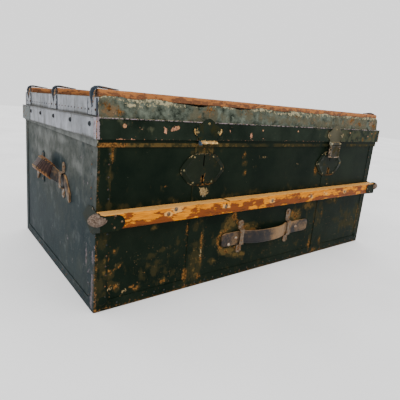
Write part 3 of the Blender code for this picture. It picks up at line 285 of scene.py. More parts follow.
# Fittings: finish, metal dark and light, rust dark and bright, share of rust, roughness, metallic, specular
fittings = {
    # Painted iron, nearly black, with a dull shine
    "darkIron": ("painted_pressed_iron", "#12161a", "#20262b", "#241c15", "#46382c", 0.36, 0.5, 0.1, 0.15),
    # Black on the cut edges of the key slots, a painted shade in the slots, with no shine at all
    "darkHole": ("painted_slot_shade", "#040504", "#0a0b08", "#100b06", "#2a1c10", 0.30, 0.8, 0.0, 0.0),
    # Brown strip iron of the handle loops, half rust
    "rustyIron": ("rusted_strip_iron", "#42362a", "#6a5a44", "#241609", "#6e4a22", 0.44, 0.45, 0.3, 0.5),
    # Grey tin plate with a soft shine
    "wornSteel": ("worn_tin_plate", "#343b39", "#4c5452", "#3a2c22", "#5e4a38", 0.36, 0.45, 0.3, 0.4),
    # Brown nail heads that catch a little light
    "nailHead": ("dull_nail_heads", "#3a3024", "#6e5e48", "#33200f", "#6a4828", 0.46, 0.45, 0.3, 0.4),
    # Olive rivets, rubbed a dull yellow
    "plateRivet": ("dull_plate_rivets", "#3c3a26", "#6e684a", "#2a2210", "#8a7448", 0.46, 0.4, 0.2, 0.3),
    # Nails on the lid, reddish and brighter
    "copperNail": ("coppery_nail_heads", "#6e4c34", "#b08058", "#2e1c10", "#8a5c34", 0.40, 0.4, 0.3, 0.4),
    # Flat grey zinc inside the lid
    "lidPlate": ("dull_zinc_corner", "#30393a", "#454e4d", "#33241a", "#6a4c34", 0.34, 0.5, 0.0, 0.2),
    # Rivets of the front strap, polished by hands
    "brightRivet": ("polished_strap_rivets", "#6a5e50", "#a89884", "#4a3424", "#8a6444", 0.44, 0.35, 0.5,
                    0.5),
    # Tacks under the same paint as the sheet
    "paintedNail": ("painted_tack_heads", "#0e1315", "#22282a", "#2a1c10", "#6a4420", 0.42, 0.45, 0.0, 0.2),
}
fittingKeys = ("metal", "metalLight", "rustDark", "rustBright", "cover", "rough", "metallic", "level")

finishes = {
    "front": weatheredEnamel("dull_green_enamel", enamel),  # nearly black, filmed brown, rusty at its seams
    "binding": weatheredEnamel("worn_binding_enamel", bindingEnamel),  # rubbed to brown metal at its edges
    "end": weatheredEnamel("glossy_green_enamel", endEnamel),  # bluer, with a soft grey bloom of dust and painted sheen
    "lidFront": weatheredEnamel("faded_lid_enamel", lidEnamel),  # crumpled, mottled green and pale grey
    "lidTop": weatheredEnamel("faded_lid_top_enamel", lidTopEnamel),  # the same, broader and calmer
    "lidLip": weatheredEnamel("lid_lip_enamel", lipEnamel),  # dark, with chips of pink-brown primer
    "lidEnd": weatheredEnamel("dust_and_sheen_lid_enamel", lidEndDustAndSheenEnamel),  # grey with dust and a painted sheen
    "plate": weatheredEnamel("lock_plate_enamel", plateEnamel),  # smoother and glossier than the sheet
    "hasp": weatheredEnamel("olive_hasp_enamel", haspEnamel),  # dirty olive
    "haspDark": weatheredEnamel("dark_hasp_enamel", darkHaspEnamel),  # dark, with brassy rims
    "leaf": weatheredEnamel("hasp_leaf_iron", leafEnamel),  # brown-grey with a rubbed rim
    "cap": weatheredEnamel("batten_cap_enamel", capEnamel),  # dark, with a grey-brown bare nose
    "clip": weatheredEnamel("slat_clip_enamel", clipEnamel),  # blue-black between coppery rims
    "batten": varnishedWood("varnished_batten_pine", battenLook),  # yellow, with flakes of brown varnish
    "slat": varnishedWood("varnished_slat_beech", slatLook),  # red-brown and dry
    "pine": varnishedWood("bare_pine_board", pineLook),  # pale boards, unvarnished
    # Near-black leather, rubbed tan on its edges
    "strap": oldLeather("dark_strap_leather", {
        "dark": "#191a1d", "brown": "#2c2724", "rubbed": "#806240", "deep": "#0e0d0d", "rough": 0.45,
        "level": 0.12, "ribs": "Z", "pressed": 0.3, "ribShade": 0.0}),
    # Red-brown leather, pressed into ribs
    "grip": oldLeather("stitched_grip_leather", {
        "dark": "#211715", "brown": "#45312a", "rubbed": "#8c5e34", "deep": "#150c09", "rough": 0.42,
        "level": 0.10, "ribs": "Y", "pressed": 2.4, "ribShade": 0.65}),
    # Waxed thread, yellow-brown and dull
    "thread": oldLeather("waxed_linen_thread", {
        "dark": "#7a5a28", "brown": "#b08a3c", "rubbed": "#c8a050", "deep": "#4a3614", "rough": 0.8,
        "level": 0.2, "ribs": "Y", "pressed": 1.0, "ribShade": 0.2}),
}
for key, (name, *values) in fittings.items():
    finishes[key] = agedMetal(name, dict(zip(fittingKeys, values)))
print("finishes made", len(finishes))


def softStep(value):
    value = max(0.0, min(1.0, value))
    return value * value * (3 - 2 * value)


def spot(x, y, mark):
    # Share of an oval mark at a point: centre x and y, half width, half height, strength, turn in degrees
    centreX, centreY, halfWidth, halfHeight, strength, turn = (*mark, 0)[:6]
    dx, dy = x - centreX, y - centreY
    cosine, sine = math.cos(math.radians(turn)), math.sin(math.radians(turn))
    away = ((dx * cosine + dy * sine) / halfWidth) ** 2 + ((dy * cosine - dx * sine) / halfHeight) ** 2
    return strength * (1 - away) if away < 1 else 0.0


def uneven(place, amount):
    # Slow change of wear over a surface
    return amount * noise.fractal(place, 0.9, 2.0, 3)


def waviness(point, size, height, seed=0.0):
    # Slow rise and fall of a surface
    return height * noise.fractal(Vector((point.x + seed, point.y + seed, point.z)) / size, 0.8, 2.0, 3)


def fromFoot(point):
    # Millimetres from the foot of the case's left front corner
    return (point.x - left) * 1000, (point.y - front) * 1000, point.z * 1000


def denseCopy(name, spacing, cuts=(), shown=None):
    # The node's mesh cut by planes four spacings apart and then divided, so that it can carry wear and dents
    share = 4
    shape = bmesh.new()
    shape.from_mesh(nodes[name].data)
    bmesh.ops.remove_doubles(shape, verts=shape.verts, dist=1e-6)
    bmesh.ops.dissolve_limit(shape, angle_limit=math.radians(0.5), verts=shape.verts, edges=shape.edges)
    faces = [f for f in shape.faces if shown is None or shown(f)]
    geom = list(set(faces) | {e for f in faces for e in f.edges} | {v for f in faces for v in f.verts})
    low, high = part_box(name)
    planes = list(cuts)
    for axis in range(3):
        steps = max(1, round((high[axis] - low[axis]) / (spacing * share)))
        planes += [(axis, low[axis] + (high[axis] - low[axis]) * i / steps) for i in range(1, steps)]
    for axis, value in planes:
        normal = Vector((0, 0, 0))
        normal[axis] = 1
        geom = bmesh.ops.bisect_plane(shape, geom=geom, dist=1e-6, plane_co=normal * value,
                                      plane_no=normal)["geom"]
    edges = [e for e in shape.edges if e.calc_length() > 1.4 * spacing
             and (shown is None or any(shown(f) for f in e.link_faces))]
    bmesh.ops.subdivide_edges(shape, edges=edges, cuts=share - 1, use_grid_fill=True)
    return shape


def finishPiece(shape, name, body, finish, replaced=None, wear=None, crease=40.0):
    # Makes the object, with its wear attribute worked out at each point
    mesh = bpy.data.meshes.new(name)
    shape.normal_update()
    colours = [wear(v.co, v.normal) if wear else (0.0, 0.0, 0.0, 0.0) for v in shape.verts]
    shape.to_mesh(mesh)
    shape.free()
    layer = mesh.attributes.new("wear", "FLOAT_COLOR", "POINT")
    layer.data.foreach_set("color", [min(1.0, max(0.0, c)) for colour in colours for c in colour])
    mesh.shade_smooth()
    mesh.set_sharp_from_angle(angle=math.radians(crease))
    made = bpy.data.objects.new(name, mesh)
    bpy.context.scene.collection.objects.link(made)
    for key in finish.split():
        mesh.materials.append(finishes[key])
    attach(made, body)
    if replaced:
        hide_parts(replaced)
    return made


def byFacing(made, choose):
    # Gives each face the finish that its direction calls for
    for face in made.data.polygons:
        face.material_index = int(choose(face.normal, face.center))


# Marks in millimetres from the left foot: x, z, half width, half height, strength, turn in degrees
frontMarks = {
    "rust": [
        (335, 152, 13, 15, 0.75, 20), (348, 137, 10, 10, 0.6), (369, 120, 16, 7, 0.8, 10),
        (398, 108, 20, 6, 0.8, 14), (355, 122, 10, 10, 0.5), (299, 111, 7, 7, 0.8), (292, 97, 5, 16, 0.85),
        (300, 78, 7, 8, 0.8), (320, 66, 18, 5, 0.55, -12), (312, 119, 14, 6, 0.6, 25), (345, 72, 18, 7, 0.5),
        (548, 135, 8, 14, 0.75), (563, 124, 11, 12, 0.7), (577, 108, 10, 8, 0.6), (243, 112, 4, 18, 0.85),
        (244, 92, 3, 10, 0.7), (241, 22, 6, 10, 0.6), (243, 62, 4, 14, 0.6), (204, 34, 5, 18, 0.55),
        (203, 140, 3, 14, 0.5), (148, 31, 9, 6, 0.75, 15), (77, 36, 6, 5, 0.75, -30),
        (84, 31, 6, 4, 0.7, 20), (92, 29, 4, 5, 0.6), (34, 77, 9, 3, 0.7, 45), (48, 87, 9, 3, 0.75, 40),
        (39, 118, 5, 5, 0.7), (23, 103, 5, 8, 0.6), (35, 70, 5, 4, 0.65), (43, 45, 6, 9, 0.75),
        (33, 51, 8, 4, 0.7, -10), (24, 79, 5, 5, 0.7), (344, 295, 5, 8, 0.75, -15),
        (347, 276, 9, 4, 0.75, 10), (353, 254, 6, 6, 0.8), (618, 247, 8, 13, 0.9), (612, 258, 4, 8, 0.7),
        (640, 205, 20, 3, 0.35), (677, 222, 26, 4, 0.4), (640, 30, 5, 22, 0.6), (687, 34, 5, 18, 0.5),
        (664, 12, 14, 5, 0.6), (738, 152, 3, 10, 0.6, 25), (614, 148, 14, 8, 0.45), (600, 156, 8, 7, 0.5),
        (679, 120, 3, 20, 0.5), (877, 63, 4, 16, 0.6), (877, 111, 4, 14, 0.6), (883, 230, 3, 4, 0.6),
        (225, 309, 12, 5, 0.65), (243, 305, 9, 4, 0.5), (26, 303, 4, 22, 0.8), (24, 262, 2.5, 6, 0.45),
        (23, 240, 2.5, 8, 0.4), (140, 236, 8, 3, 0.5), (540, 40, 8, 4, 0.6)],
    "bare": [
        (237, 217, 15, 12, 0.85), (228, 224, 10, 5, 0.7), (241, 66, 3, 14, 0.75), (243, 82, 3, 8, 0.6),
        (377, 262, 3, 14, 0.62, -30), (410, 291, 16, 2.5, 0.6), (538, 269, 4, 3, 0.7), (394, 292, 4, 4, 0.5),
        (80, 27, 18, 2, 0.45), (64, 31, 8, 6, 0.5), (30, 44, 6, 5, 0.6), (46, 50, 4, 4, 0.6),
        (677, 207, 4, 3, 0.8), (320, 132, 3, 3, 0.5), (292, 90, 2, 10, 0.4)],
    "film": [
        (318, 132, 26, 30, 0.9, -20), (392, 118, 34, 18, 0.6, 10), (330, 62, 50, 14, 0.75, -14),
        (368, 50, 28, 10, 0.6), (278, 50, 18, 12, 0.6), (560, 130, 34, 24, 0.7), (121, 153, 9, 7, 0.95),
        (228, 60, 24, 60, 0.48), (228, 150, 26, 22, 0.5), (228, 305, 40, 12, 0.5), (612, 150, 40, 16, 0.6),
        (720, 155, 40, 12, 0.5), (15, 60, 14, 60, 0.38), (15, 150, 14, 40, 0.34), (664, 120, 24, 60, 0.3),
        (130, 60, 90, 24, 0.2, -12), (150, 104, 80, 9, 0.3, 14), (150, 84, 60, 6, 0.25, 16),
        (62, 200, 40, 8, 0.3), (340, 200, 150, 12, 0.3, 8), (820, 84, 80, 70, 0.34), (877, 100, 12, 70, 0.3),
        (200, 266, 60, 50, 0.25), (664, 266, 56, 44, 0.2)],
    "pale": [
        (240, 212, 11, 9, 0.5), (243, 68, 3, 12, 0.5)],
}
# The left end's marks, where x runs back from its front corner
endMarks = {
    "rust": [
        (41, 98, 4, 30, 0.55), (6, 190, 6, 60, 0.35), (3, 60, 5, 50, 0.4), (500, 120, 6, 60, 0.3)],
    "bare": [
        (8, 110, 5, 22, 0.62), (8, 60, 6, 30, 0.6), (10, 20, 8, 20, 0.6), (42, 98, 2.5, 30, 0.6),
        (28, 75, 14, 3, 0.55, -50), (30, 48, 14, 3, 0.5, 40), (58, 70, 3, 12, 0.4, 30),
        (79, 283, 3, 10, 0.5, 20), (65, 286, 3, 8, 0.5, -20), (45, 244, 9, 3, 0.6, 20), (62, 240, 4, 8, 0.5),
        (120, 60, 3, 12, 0.4, 20), (150, 100, 2, 16, 0.4, 10), (200, 70, 4, 4, 0.5),
        (260, 90, 2, 10, 0.4, 25), (300, 60, 3, 3, 0.5)],
    # The negative mark at 212, 250 darkens the paint behind the handle's front loop, a painted reflection of
    # the strap; the broad film and pale marks are dust and painted sheen
    "film": [
        (100, 60, 130, 80, 0.35), (255, 150, 200, 60, 0.3), (212, 250, 62, 22, -1.4),
        (260, 240, 220, 70, 0.35)],
    "pale": [
        (330, 296, 110, 20, 0.3), (200, 300, 50, 12, 0.35), (212, 250, 62, 22, -1.2),
        (280, 230, 200, 60, 0.34), (95, 262, 40, 16, 0.25, 20)],
}


def markedWear(x, z, marks, base):
    # Every rust mark also stains the paint round it
    amounts = list(base)
    for i, kind in enumerate(("rust", "bare", "film", "pale")):
        amounts[i] += sum(spot(x, z, mark) for mark in marks[kind])
    halos = ((*mark[:2], mark[2] * 1.5 + 3, mark[3] * 1.4 + 3, mark[4] * 0.6, *mark[5:])
             for mark in marks["rust"])
    amounts[2] += max(spot(x, z, halo) for halo in halos)
    return tuple(amounts)


caseWidth, caseDepth = (right - left) * 1000, (back - front) * 1000
seamLines = (25.5, caseWidth - 25.5, 204, 251, 648, 695)  # edges of the bindings and of the two front straps


def caseWear(point, normal):
    # Rust and chips on the case: front and left end from the marks, the sides out of view alike
    x, y, z = fromFoot(point)
    drift = uneven(point / 0.11, 0.12)
    foot = 0.30 * softStep((11 - z) / 9)
    if abs(normal.y) > abs(normal.x) and point.y < 0:
        seam = max(softStep((3.2 - abs(x - line)) / 2.2) for line in seamLines)
        lower = 0.10 * softStep((180 - z) / 60)
        sill = 0.20 * softStep((218 - z) / 12) * (z > 199) + 0.10 * softStep((40 - abs(x)) / 20)
        flecks = 0.13 * softStep((150 - z) / 50)
        base = (0.04 + 0.6 * drift + 0.18 * seam + foot + lower, 0.06 + flecks,
                0.14 + drift + 0.9 * lower + sill, 0.0)
        amounts = markedWear(x, z, frontMarks, base)
    elif abs(normal.y) > abs(normal.x):
        amounts = (0.10 + 0.6 * drift + foot, 0.08, 0.20 + drift, 0.0)
    elif point.x < 0:
        # Paler toward the top: a bloom of dust and a painted sheen of the glossy paint
        bloomAndSheen = softStep((z - 120) / 200)
        base = (0.06 + 0.5 * drift, 0.10 + 0.4 * drift + 0.12 * (1 - bloomAndSheen), 0.10 + 0.75 * bloomAndSheen + drift,
                0.25 * bloomAndSheen * bloomAndSheen)
        amounts = markedWear(y, z, endMarks, base)
    else:
        amounts = (0.13 + 0.5 * drift, 0.16 + 0.5 * drift, 0.28 + drift, 0.0)
    if min(abs(x), abs(caseWidth - x)) < 6 and min(abs(y), abs(caseDepth - y)) < 6:
        rust, bare = (0.10, 0.14) if abs(normal.x) > 0.75 else (0.30, 0.30)
        amounts = (amounts[0] + rust, amounts[1] + bare + 2.0 * drift, amounts[2] + 0.2, amounts[3])
    return amounts


sheet = {"binding": 0.0011, "corner": 0.0040, "dentSize": 0.09, "dent": 0.00022, "sunk": 0.00012,
         "proud": 0.0001}


def cornerCuts(reaches, outside):
    # Planes beside the four upright corners, so that these have points to be rounded with
    return [cut for reach in reaches for cut in (
        (0, left - outside + reach), (0, right + outside - reach),
        (1, front - outside + reach), (1, back + outside - reach))]


def roundedCorner(point, outside):
    # Eases a square upright corner of the case to a rounded one
    cx, cy = right + outside - sheet["corner"], back + outside - sheet["corner"]
    dx, dy = abs(point.x) - cx, abs(point.y) - cy
    if dx > 0 and dy > 0:
        share = max(dx, dy) / math.hypot(dx, dy)
        point.x = math.copysign(cx + dx * share, point.x)
        point.y = math.copysign(cy + dy * share, point.y)


def makeCaseShell():
    cuts = [(0, left + line / 1000 + d) for line in seamLines for d in (-0.0015, 0.0015)]
    cuts += cornerCuts((0.0010, 0.0020, 0.0030, 0.0042), 0.0) + [(2, 0.004), (2, 0.008), (2, 0.014)]

    def outside(face):
        centre = face.calc_center_median()
        return face.normal.dot(Vector((centre.x / right, centre.y / back, 0))) > 0.5

    shape = denseCopy("case_skin", 0.006, cuts, outside)
    shape.normal_update()
    for v in shape.verts:
        outer = max(abs(v.co.x) - right, abs(v.co.y) - back) > -0.0004
        if outer and abs(v.normal.z) < 0.5:
            dent = waviness(v.co, sheet["dentSize"], sheet["dent"]) - sheet["sunk"]
            if abs(v.co.x) < right - 0.03 or abs(v.co.y) < back - 0.03:
                v.co += v.normal * min(sheet["proud"], dent)
            roundedCorner(v.co, 0.0)
    made = finishPiece(shape, "case_shell", "case", "front end", "case_skin", caseWear)
    byFacing(made, lambda normal, centre: abs(normal.x) > 0.7)


def makeBindings():
    shape = denseCopy("case_bindings", 0.005, cornerCuts((0.0003, 0.0014, 0.0026, 0.0040), sheet["binding"]))
    for v in shape.verts:
        roundedCorner(v.co, sheet["binding"])
    made = finishPiece(shape, "corner_bindings", "case", "binding end", "case_bindings",
                       caseWear)
    byFacing(made, lambda normal, centre: abs(normal.x) > 0.75)
    for side in ("left", "right"):
        node = f"front_strap_{side}"
        finishPiece(denseCopy(node, 0.005), f"seam_strap_{side}", "case", "front", node,
                    caseWear)


def bandWear(point, normal):
    # Left as near black paint where the lid's lip overhangs it, a painted shadow under the lip; brown below,
    # orange only near the left corner
    x, _, z = fromFoot(point)
    drift = uneven(point / 0.05, 0.2)
    if abs(normal.x) > 0.6:
        return (0.12 + drift, 0.20, 0.75 + drift, 0.6)
    # Rust and film are left out under the lid's lip, so the paint stays near black there: a painted shadow
    # line
    shown = softStep((322.5 - z) / 1.5)
    rusty = 0.66 - 0.46 * softStep((x - 38) / 40) - 0.14 * softStep((x - 180) / 160)
    return ((rusty + drift) * shown, 0.06, (0.9 - 0.35 * softStep((x - 200) / 200) + drift) * shown, 0.0)


def makeRimBand():
    shape = denseCopy("rim_band", 0.006, [(2, 0.3210), (2, 0.3228)])
    made = finishPiece(shape, "rim_strip", "case", "front end", "rim_band", bandWear)
    byFacing(made, lambda normal, centre: abs(normal.x) > 0.7)


lidMarks = {
    "rust": [
        (45, 341, 8, 6, 0.3), (63, 334, 6, 1.6, 0.5), (77, 337, 6, 2, 0.5, 30), (96, 337, 8, 1.6, 0.45),
        (36, 366, 2.2, 12, 0.7), (20, 368, 7, 5, 0.5), (12, 372, 12, 12, 0.3), (819, 325, 5, 6, 0.7),
        (860, 326, 12, 4, 0.5), (756, 376, 14, 6, 0.7, 20), (800, 368, 12, 8, 0.6), (880, 366, 14, 10, 0.55),
        (640, 345, 10, 4, 0.4), (238, 376, 16, 8, 0.55), (252, 341, 3, 14, 0.5), (206, 336, 7, 12, 0.75),
        (210, 350, 9, 5, 0.6), (255, 334, 4, 10, 0.5), (646, 336, 5, 12, 0.6), (700, 336, 4, 12, 0.5),
        (600, 351, 30, 3, 0.3), (340, 374, 30, 8, 0.35), (512, 376, 20, 6, 0.4), (881, 340, 6, 20, 0.5)],
    "bare": [
        (128, 335, 6, 7, 0.95), (150, 340, 9, 6, 0.9, 10), (143, 335, 6, 4, 0.7), (77, 338, 5, 4, 0.6),
        (352, 328, 5, 11, 0.95), (289, 338, 2.5, 12, 0.7, -25), (281, 326, 2, 6, 0.6, -25),
        (40, 319, 12, 3, 0.6), (62, 319, 8, 3, 0.6), (238, 380, 14, 9, 0.5), (393, 322, 6, 3, 0.6),
        (206, 340, 5, 10, 0.6), (22, 371, 9, 4, 0.6, 10), (30, 361, 7, 3, 0.55, -20), (52, 374, 6, 4, 0.4),
        (866, 372, 26, 12, 0.6), (800, 374, 14, 6, 0.45), (646, 340, 4, 9, 0.5)],
    "film": [
        (24, 364, 16, 12, 0.7), (700, 334, 120, 14, 0.15), (600, 366, 260, 10, 0.2), (228, 366, 40, 16, 0.4),
        (860, 334, 40, 16, 0.1)],
    "pale": [
        (60, 377, 14, 3, 0.6, -10), (78, 370, 9, 3, 0.45, 20), (75, 374, 36, 6, 0.2), (130, 381, 60, 4, 0.3),
        (185, 372, 50, 5, 0.1), (480, 380, 60, 4, 0.3), (550, 379, 50, 4, 0.25), (620, 374, 40, 5, 0.15),
        (250, 334, 3, 12, 0.3)],
}


def lidWear(point, normal):
    # The lid's own wear: crushed front edge, a pale ledge line that is a painted highlight, pale ends of dust
    # and painted sheen, dull top
    shut = lidShut @ point
    x, y, z = fromFoot(shut)
    drift = uneven(shut / 0.08, 0.14)
    if normal.z > 0.6 and z < 360 and y < 1:
        # The bead along the ledge's front is chipped and lighter, partly a painted highlight of its rounded
        # edge
        beadWearAndHighlight = softStep((-4.6 - y) / 0.8)
        return (0.10 + drift, 0.06 + 0.30 * beadWearAndHighlight, 0.30 + drift, 0.06 + 0.40 * beadWearAndHighlight)
    if normal.z > 0.6:
        edge = softStep((24 - y) / 22)
        return (0.22 + drift + 0.10 * edge, 0.14 + 0.22 * edge, 0.45 + drift, 0.30 * edge)
    if abs(normal.y) > abs(normal.x) and point.y > 0:
        return (0.16 + drift, 0.12, 0.4 + drift, 0.1)
    if abs(normal.y) > abs(normal.x):
        tier = z > 354
        edge = softStep((z - 372) / 10)
        foot = softStep((320.5 - z) / 3)
        # A thin pale line along the ledge is a painted highlight; the pale along the tier's top edge is
        # peeled paint and a painted highlight of the crumpled lip
        ledgeHighlight = softStep((1.3 - abs(z - 353)) / 0.5)
        rim = softStep((z - 381) / 4)
        dust = (0.34 + 0.16 * softStep((x - 480) / 200) if tier
                else 0.14 + 0.26 * softStep((x - 520) / 160) * (z < 352))
        base = (0.08 + drift + 0.12 * edge + 0.06 * foot, 0.06 + 0.18 * rim + 0.24 * foot, dust + drift,
                0.08 * tier + 0.16 * edge + 0.34 * rim + 0.5 * ledgeHighlight)
        amounts = markedWear(x, z, lidMarks, base)
    else:
        # Darker lines along the ledge and along the lip's foot on the ends are painted shade
        low = softStep((3.5 - abs(z - 354.5)) / 2.5) + softStep((319.5 - z) / 1.5)
        streak = uneven(Vector((shut.y / 0.012, 0.0, shut.z / 0.2)), 0.25)
        amounts = (0.04 + 0.5 * drift, 0.04 + 0.5 * drift, 0.22 + 1.2 * drift + streak + 1.2 * low,
                   0.30 + drift - streak - 0.8 * low)
    more = (0.0, 0.0, 0.0, 0.0)
    if min(abs(x + 6.5), abs(906.5 - x)) < (5 if normal.y < -0.6 else 9) and y < 6:
        # The left corner is bare on its end and pale on its front; the right one is brown
        more = (0.2, 0.35, 0.2, 0.0) if x > 450 else (0.05, 0.60, 0.0, 0.0) if normal.x < -0.9 else (
            0.0, 0.0, 0.0, 0.95)
    return tuple(a + b for a, b in zip(amounts, more))


crush = {"reach": 0.017, "fold": 0.0022, "size": 0.009, "ripple": 0.0012, "refill": 0.42, "lip": 0.0046,
         "lipDepth": 0.0036, "lipFoot": 0.0053, "dimple": 0.0021}
sheetTop = (lidShut @ Vector((0.0, front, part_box("lid_top_skin")[1].z))).z


def makeLidSkin():
    # The lid's upper sheet, crumpled and flaked along its front edge
    ledgeFoot = (lidTurn @ Vector((0.0, front, 0.3530))).z
    cuts = [(2, cadBox[1].z - 0.0135 - 0.0006 * i) for i in range(4)]
    cuts += [(2, ledgeFoot + 0.0008), (2, ledgeFoot + 0.0016)]
    cuts += [(1, front + d) for d in (0.0010, 0.0022, crush["lipDepth"], crush["lipFoot"], 0.0075, 0.0110)]

    def outside(face):
        wall = abs(face.normal.y) > 0.6 and abs(face.calc_center_median().y) > 0.2
        return face.normal.z > 0.2 or wall or abs(face.normal.x) > 0.6

    def paintOf(normal, centre):
        if abs(normal.x) > 0.7:
            return 1
        return 2 if normal.z > 0.6 and centre.y > front + 0.014 or normal.y > 0.6 else 0

    shape = denseCopy("lid_top_skin", 0.0045, cuts, outside)
    shape.normal_update()
    for v in shape.verts:
        shut = lidShut @ v.co
        inside = shut.y - front
        normal = v.normal.copy()
        near = softStep((crush["reach"] - inside) / crush["reach"]) * softStep((shut.z - 0.364) / 0.012)
        if near > 0 and normal.z > -0.3:
            fold = noise.noise(Vector((shut.x / 0.022, shut.y / 0.016, shut.z / 0.010)))
            ripple = noise.fractal(shut / crush["size"], 0.7, 2.0, 3)
            lift = crush["refill"] * (sheetTop - shut.z) if shut.z > 0.371 else 0.0
            v.co.z += near * (lift - abs(crush["fold"] * fold + crush["ripple"] * ripple))
            v.co.y += near * abs(crush["fold"] * 0.7 * fold)
            if normal.z > 0.3 or shut.z > 0.384:
                rolled = softStep((crush["lipFoot"] - inside) / (crush["lipFoot"] - crush["lipDepth"]))
                wavy = min(1.0, 0.85 + 0.5 * noise.noise(Vector((shut.x / 0.028, 0.0, 4.0))))
                v.co.z += rolled * wavy * crush["lip"] * softStep((0.449 - abs(shut.x)) / 0.012)
        if normal.y < -0.6 and shut.y < 0:
            v.co.y += min(0.0007, crush["dimple"] * noise.fractal(shut / 0.018, 0.8, 2.0, 3))
        elif normal.z > 0.6:
            v.co.z -= abs(waviness(v.co, 0.12, 0.0003))
    made = finishPiece(shape, "lid_sheet", "lid", "lidFront lidEnd lidTop", "lid_top_skin",
                       lidWear, 32.0)
    byFacing(made, paintOf)


def makeValances():
    for side in ("front", "left", "right"):
        node = f"valance_{side}"
        made = finishPiece(denseCopy(node, 0.0045), f"lid_lip_{side}", "lid", "lidLip lidEnd",
                           node, lidWear)
        byFacing(made, lambda normal, centre: abs(normal.x) > 0.7 or side != "front")


battenMarks = {
    # Where the old varnish still holds on the face: x, z, half width, half height
    "varnish": ((74, 178, 14, 8), (120, 176, 20, 6), (205, 176, 30, 5), (262, 184, 10, 9), (330, 180, 34, 8),
                (378, 190, 22, 6), (452, 184, 18, 9), (520, 180, 40, 7), (636, 178, 34, 6), (700, 184, 12, 9),
                (790, 180, 40, 8)),
    "nails": ((136, 187), (153, 195), (283, 187), (431, 187), (582, 185), (739, 186)),
    "bruises": ((170, 193, 26, 7, 0.4), (645, 188, 20, 7, 0.5)),
}


def battenWear(point, normal):
    # Varnish holds low on the face; the top edge is pale, rubbed and a painted highlight of its rounded
    # arris, and each nail has bruised the wood round it
    x, _, z = fromFoot(point)
    drift = uneven(Vector((point.x / 0.12, 0, point.z / 0.03)), 0.14)
    topWearAndHighlight = softStep((z - 197.9) / 1.2)
    held = 0.5 * max(spot(x, z, (*mark, 0.5)) for mark in battenMarks["varnish"])
    varnish = (drift - 0.04 + 0.20 * softStep((190 - z) / 14) + 0.03 * softStep((x - 240) / 120)
               + 0.16 * softStep((90 - x) / 40) + held - 0.30 * topWearAndHighlight)
    bruise = max(spot(x, z, (*nail, 16, 9, 0.66)) for nail in battenMarks["nails"])
    bruise += sum(spot(x, z, mark) for mark in battenMarks["bruises"])
    crack = 0.9 * softStep((1.6 - abs(x - 288 - 0.5 * (z - 196))) / 1.2) * softStep((z - 186) / 6)
    dirt = 0.16 + 0.08 * softStep((x - 430) / 200) + 0.9 * crack + 0.18 * (z < 173)
    return (varnish, 0.10 + bruise + 0.62 * topWearAndHighlight, dirt, 0.0)


def slatWear(point, normal):
    # The slat's sides are darker toward their foot; the tops only a little darker
    drift = uneven(Vector((point.x / 0.10, point.y / 0.01, point.z / 0.02)), 0.14)
    shut = lidShut @ point
    dark = 0.30 * softStep((0.3970 - shut.z) / 0.004) if normal.z < 0.6 else 0.08
    return (drift + dark, 0.14 + 0.5 * drift, 0.20 + drift + 0.4 * dark, 0.0)


def makeTimber():
    # The batten's face and top edge and the slats' tops are worn a little hollow
    shape = denseCopy("batten", 0.005, [(2, 0.1979), (2, 0.1986)])
    for v in shape.verts:
        if v.normal.length and abs(v.co.x) < 0.44:
            v.co.y += abs(waviness(v.co, 0.03, 0.0006)) if v.co.y < -0.27 else 0.0
            v.co.z -= abs(waviness(v.co, 0.03, 0.0005, 3.0)) if v.co.z > 0.1985 else 0.0
    finishPiece(shape, "front_batten", "case", "batten", "batten", battenWear)
    for row in ("front", "middle", "back"):
        shape = denseCopy(f"slat_{row}", 0.006)
        for v in shape.verts:
            v.co.z -= abs(waviness(v.co, 0.035, 0.0005)) if v.normal.z > 0.3 else 0.0
        finishPiece(shape, f"lid_slat_{row}", "lid", "slat", f"slat_{row}", slatWear)


def capWear(point, normal):
    # Dark painted plate; the nose is rubbed to bare metal, with less rust on its upper part, a painted
    # highlight
    noseTip = Vector((math.copysign(right + 0.002, point.x), front - 0.020, 0.1905))
    nose = max(0.0, 1 - (point - noseTip).length / 0.019)
    lump = max(softStep((front - 0.0262 - point.y) / 0.0014), float(abs(point.x) > right + 0.0035))
    drift = uneven(point / 0.02, 0.2)
    paintedTopLight = softStep((point.z - 0.185) / 0.012)
    return (0.16 + drift + 0.35 * lump * nose * (1 - paintedTopLight), 0.10 + 0.62 * lump + 0.3 * nose * lump,
            0.2 + drift, 0.0)


slatRows = [sum(corner.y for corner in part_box(f"slat_{row}")) / 2 for row in ("front", "middle", "back")]


def clipWear(point, normal):
    # A blue-black tongue narrows down the bend between coppery rims, a painted shade and dark reflection of
    # the domed hood; round it the plate is pale like the end, with its painted sheen
    shut = lidShut @ point
    aside = min(abs(shut.y - row) for row in slatRows) * 1000
    drift = uneven(shut / 0.02, 0.2)
    if shut.z > 0.3965 and abs(shut.x) < 0.4455:
        return (0.46 + drift, 0.16 + 0.5 * softStep((aside - 12) / 5) + drift, 0.3, 0.0)
    past = aside - 11 * max(0.0, (shut.z - 0.369) / 0.030) ** 0.7
    outline = max(softStep((aside - 17) / 1.5), softStep((0.3562 - shut.z) / 0.0014))
    rim = max(0.0, 1 - abs(past - 2) / 2.5) * softStep((shut.z - 0.370) / 0.01)
    return (0.10 + drift, 0.05 + 0.75 * rim, 0.1, softStep(past / 2) - outline)


def makeIronwork():
    # Batten caps and slat clips
    for side in ("left", "right"):
        node = f"batten_cap_{side}"
        finishPiece(denseCopy(node, 0.004), f"cap_{side}", "case", "cap", node, capWear)
    for row in ("front", "middle", "back"):
        for side in ("left", "right"):
            node = f"slat_clip_{row}_{side}"
            finishPiece(denseCopy(node, 0.002), f"clip_{row}_{side}", "lid", "clip", node,
                        clipWear, 50.0)


lockX = {"left": -0.222, "right": 0.222}
lockZ = 0.2665


def sideOf(point):
    return "left" if point.x < 0 else "right"


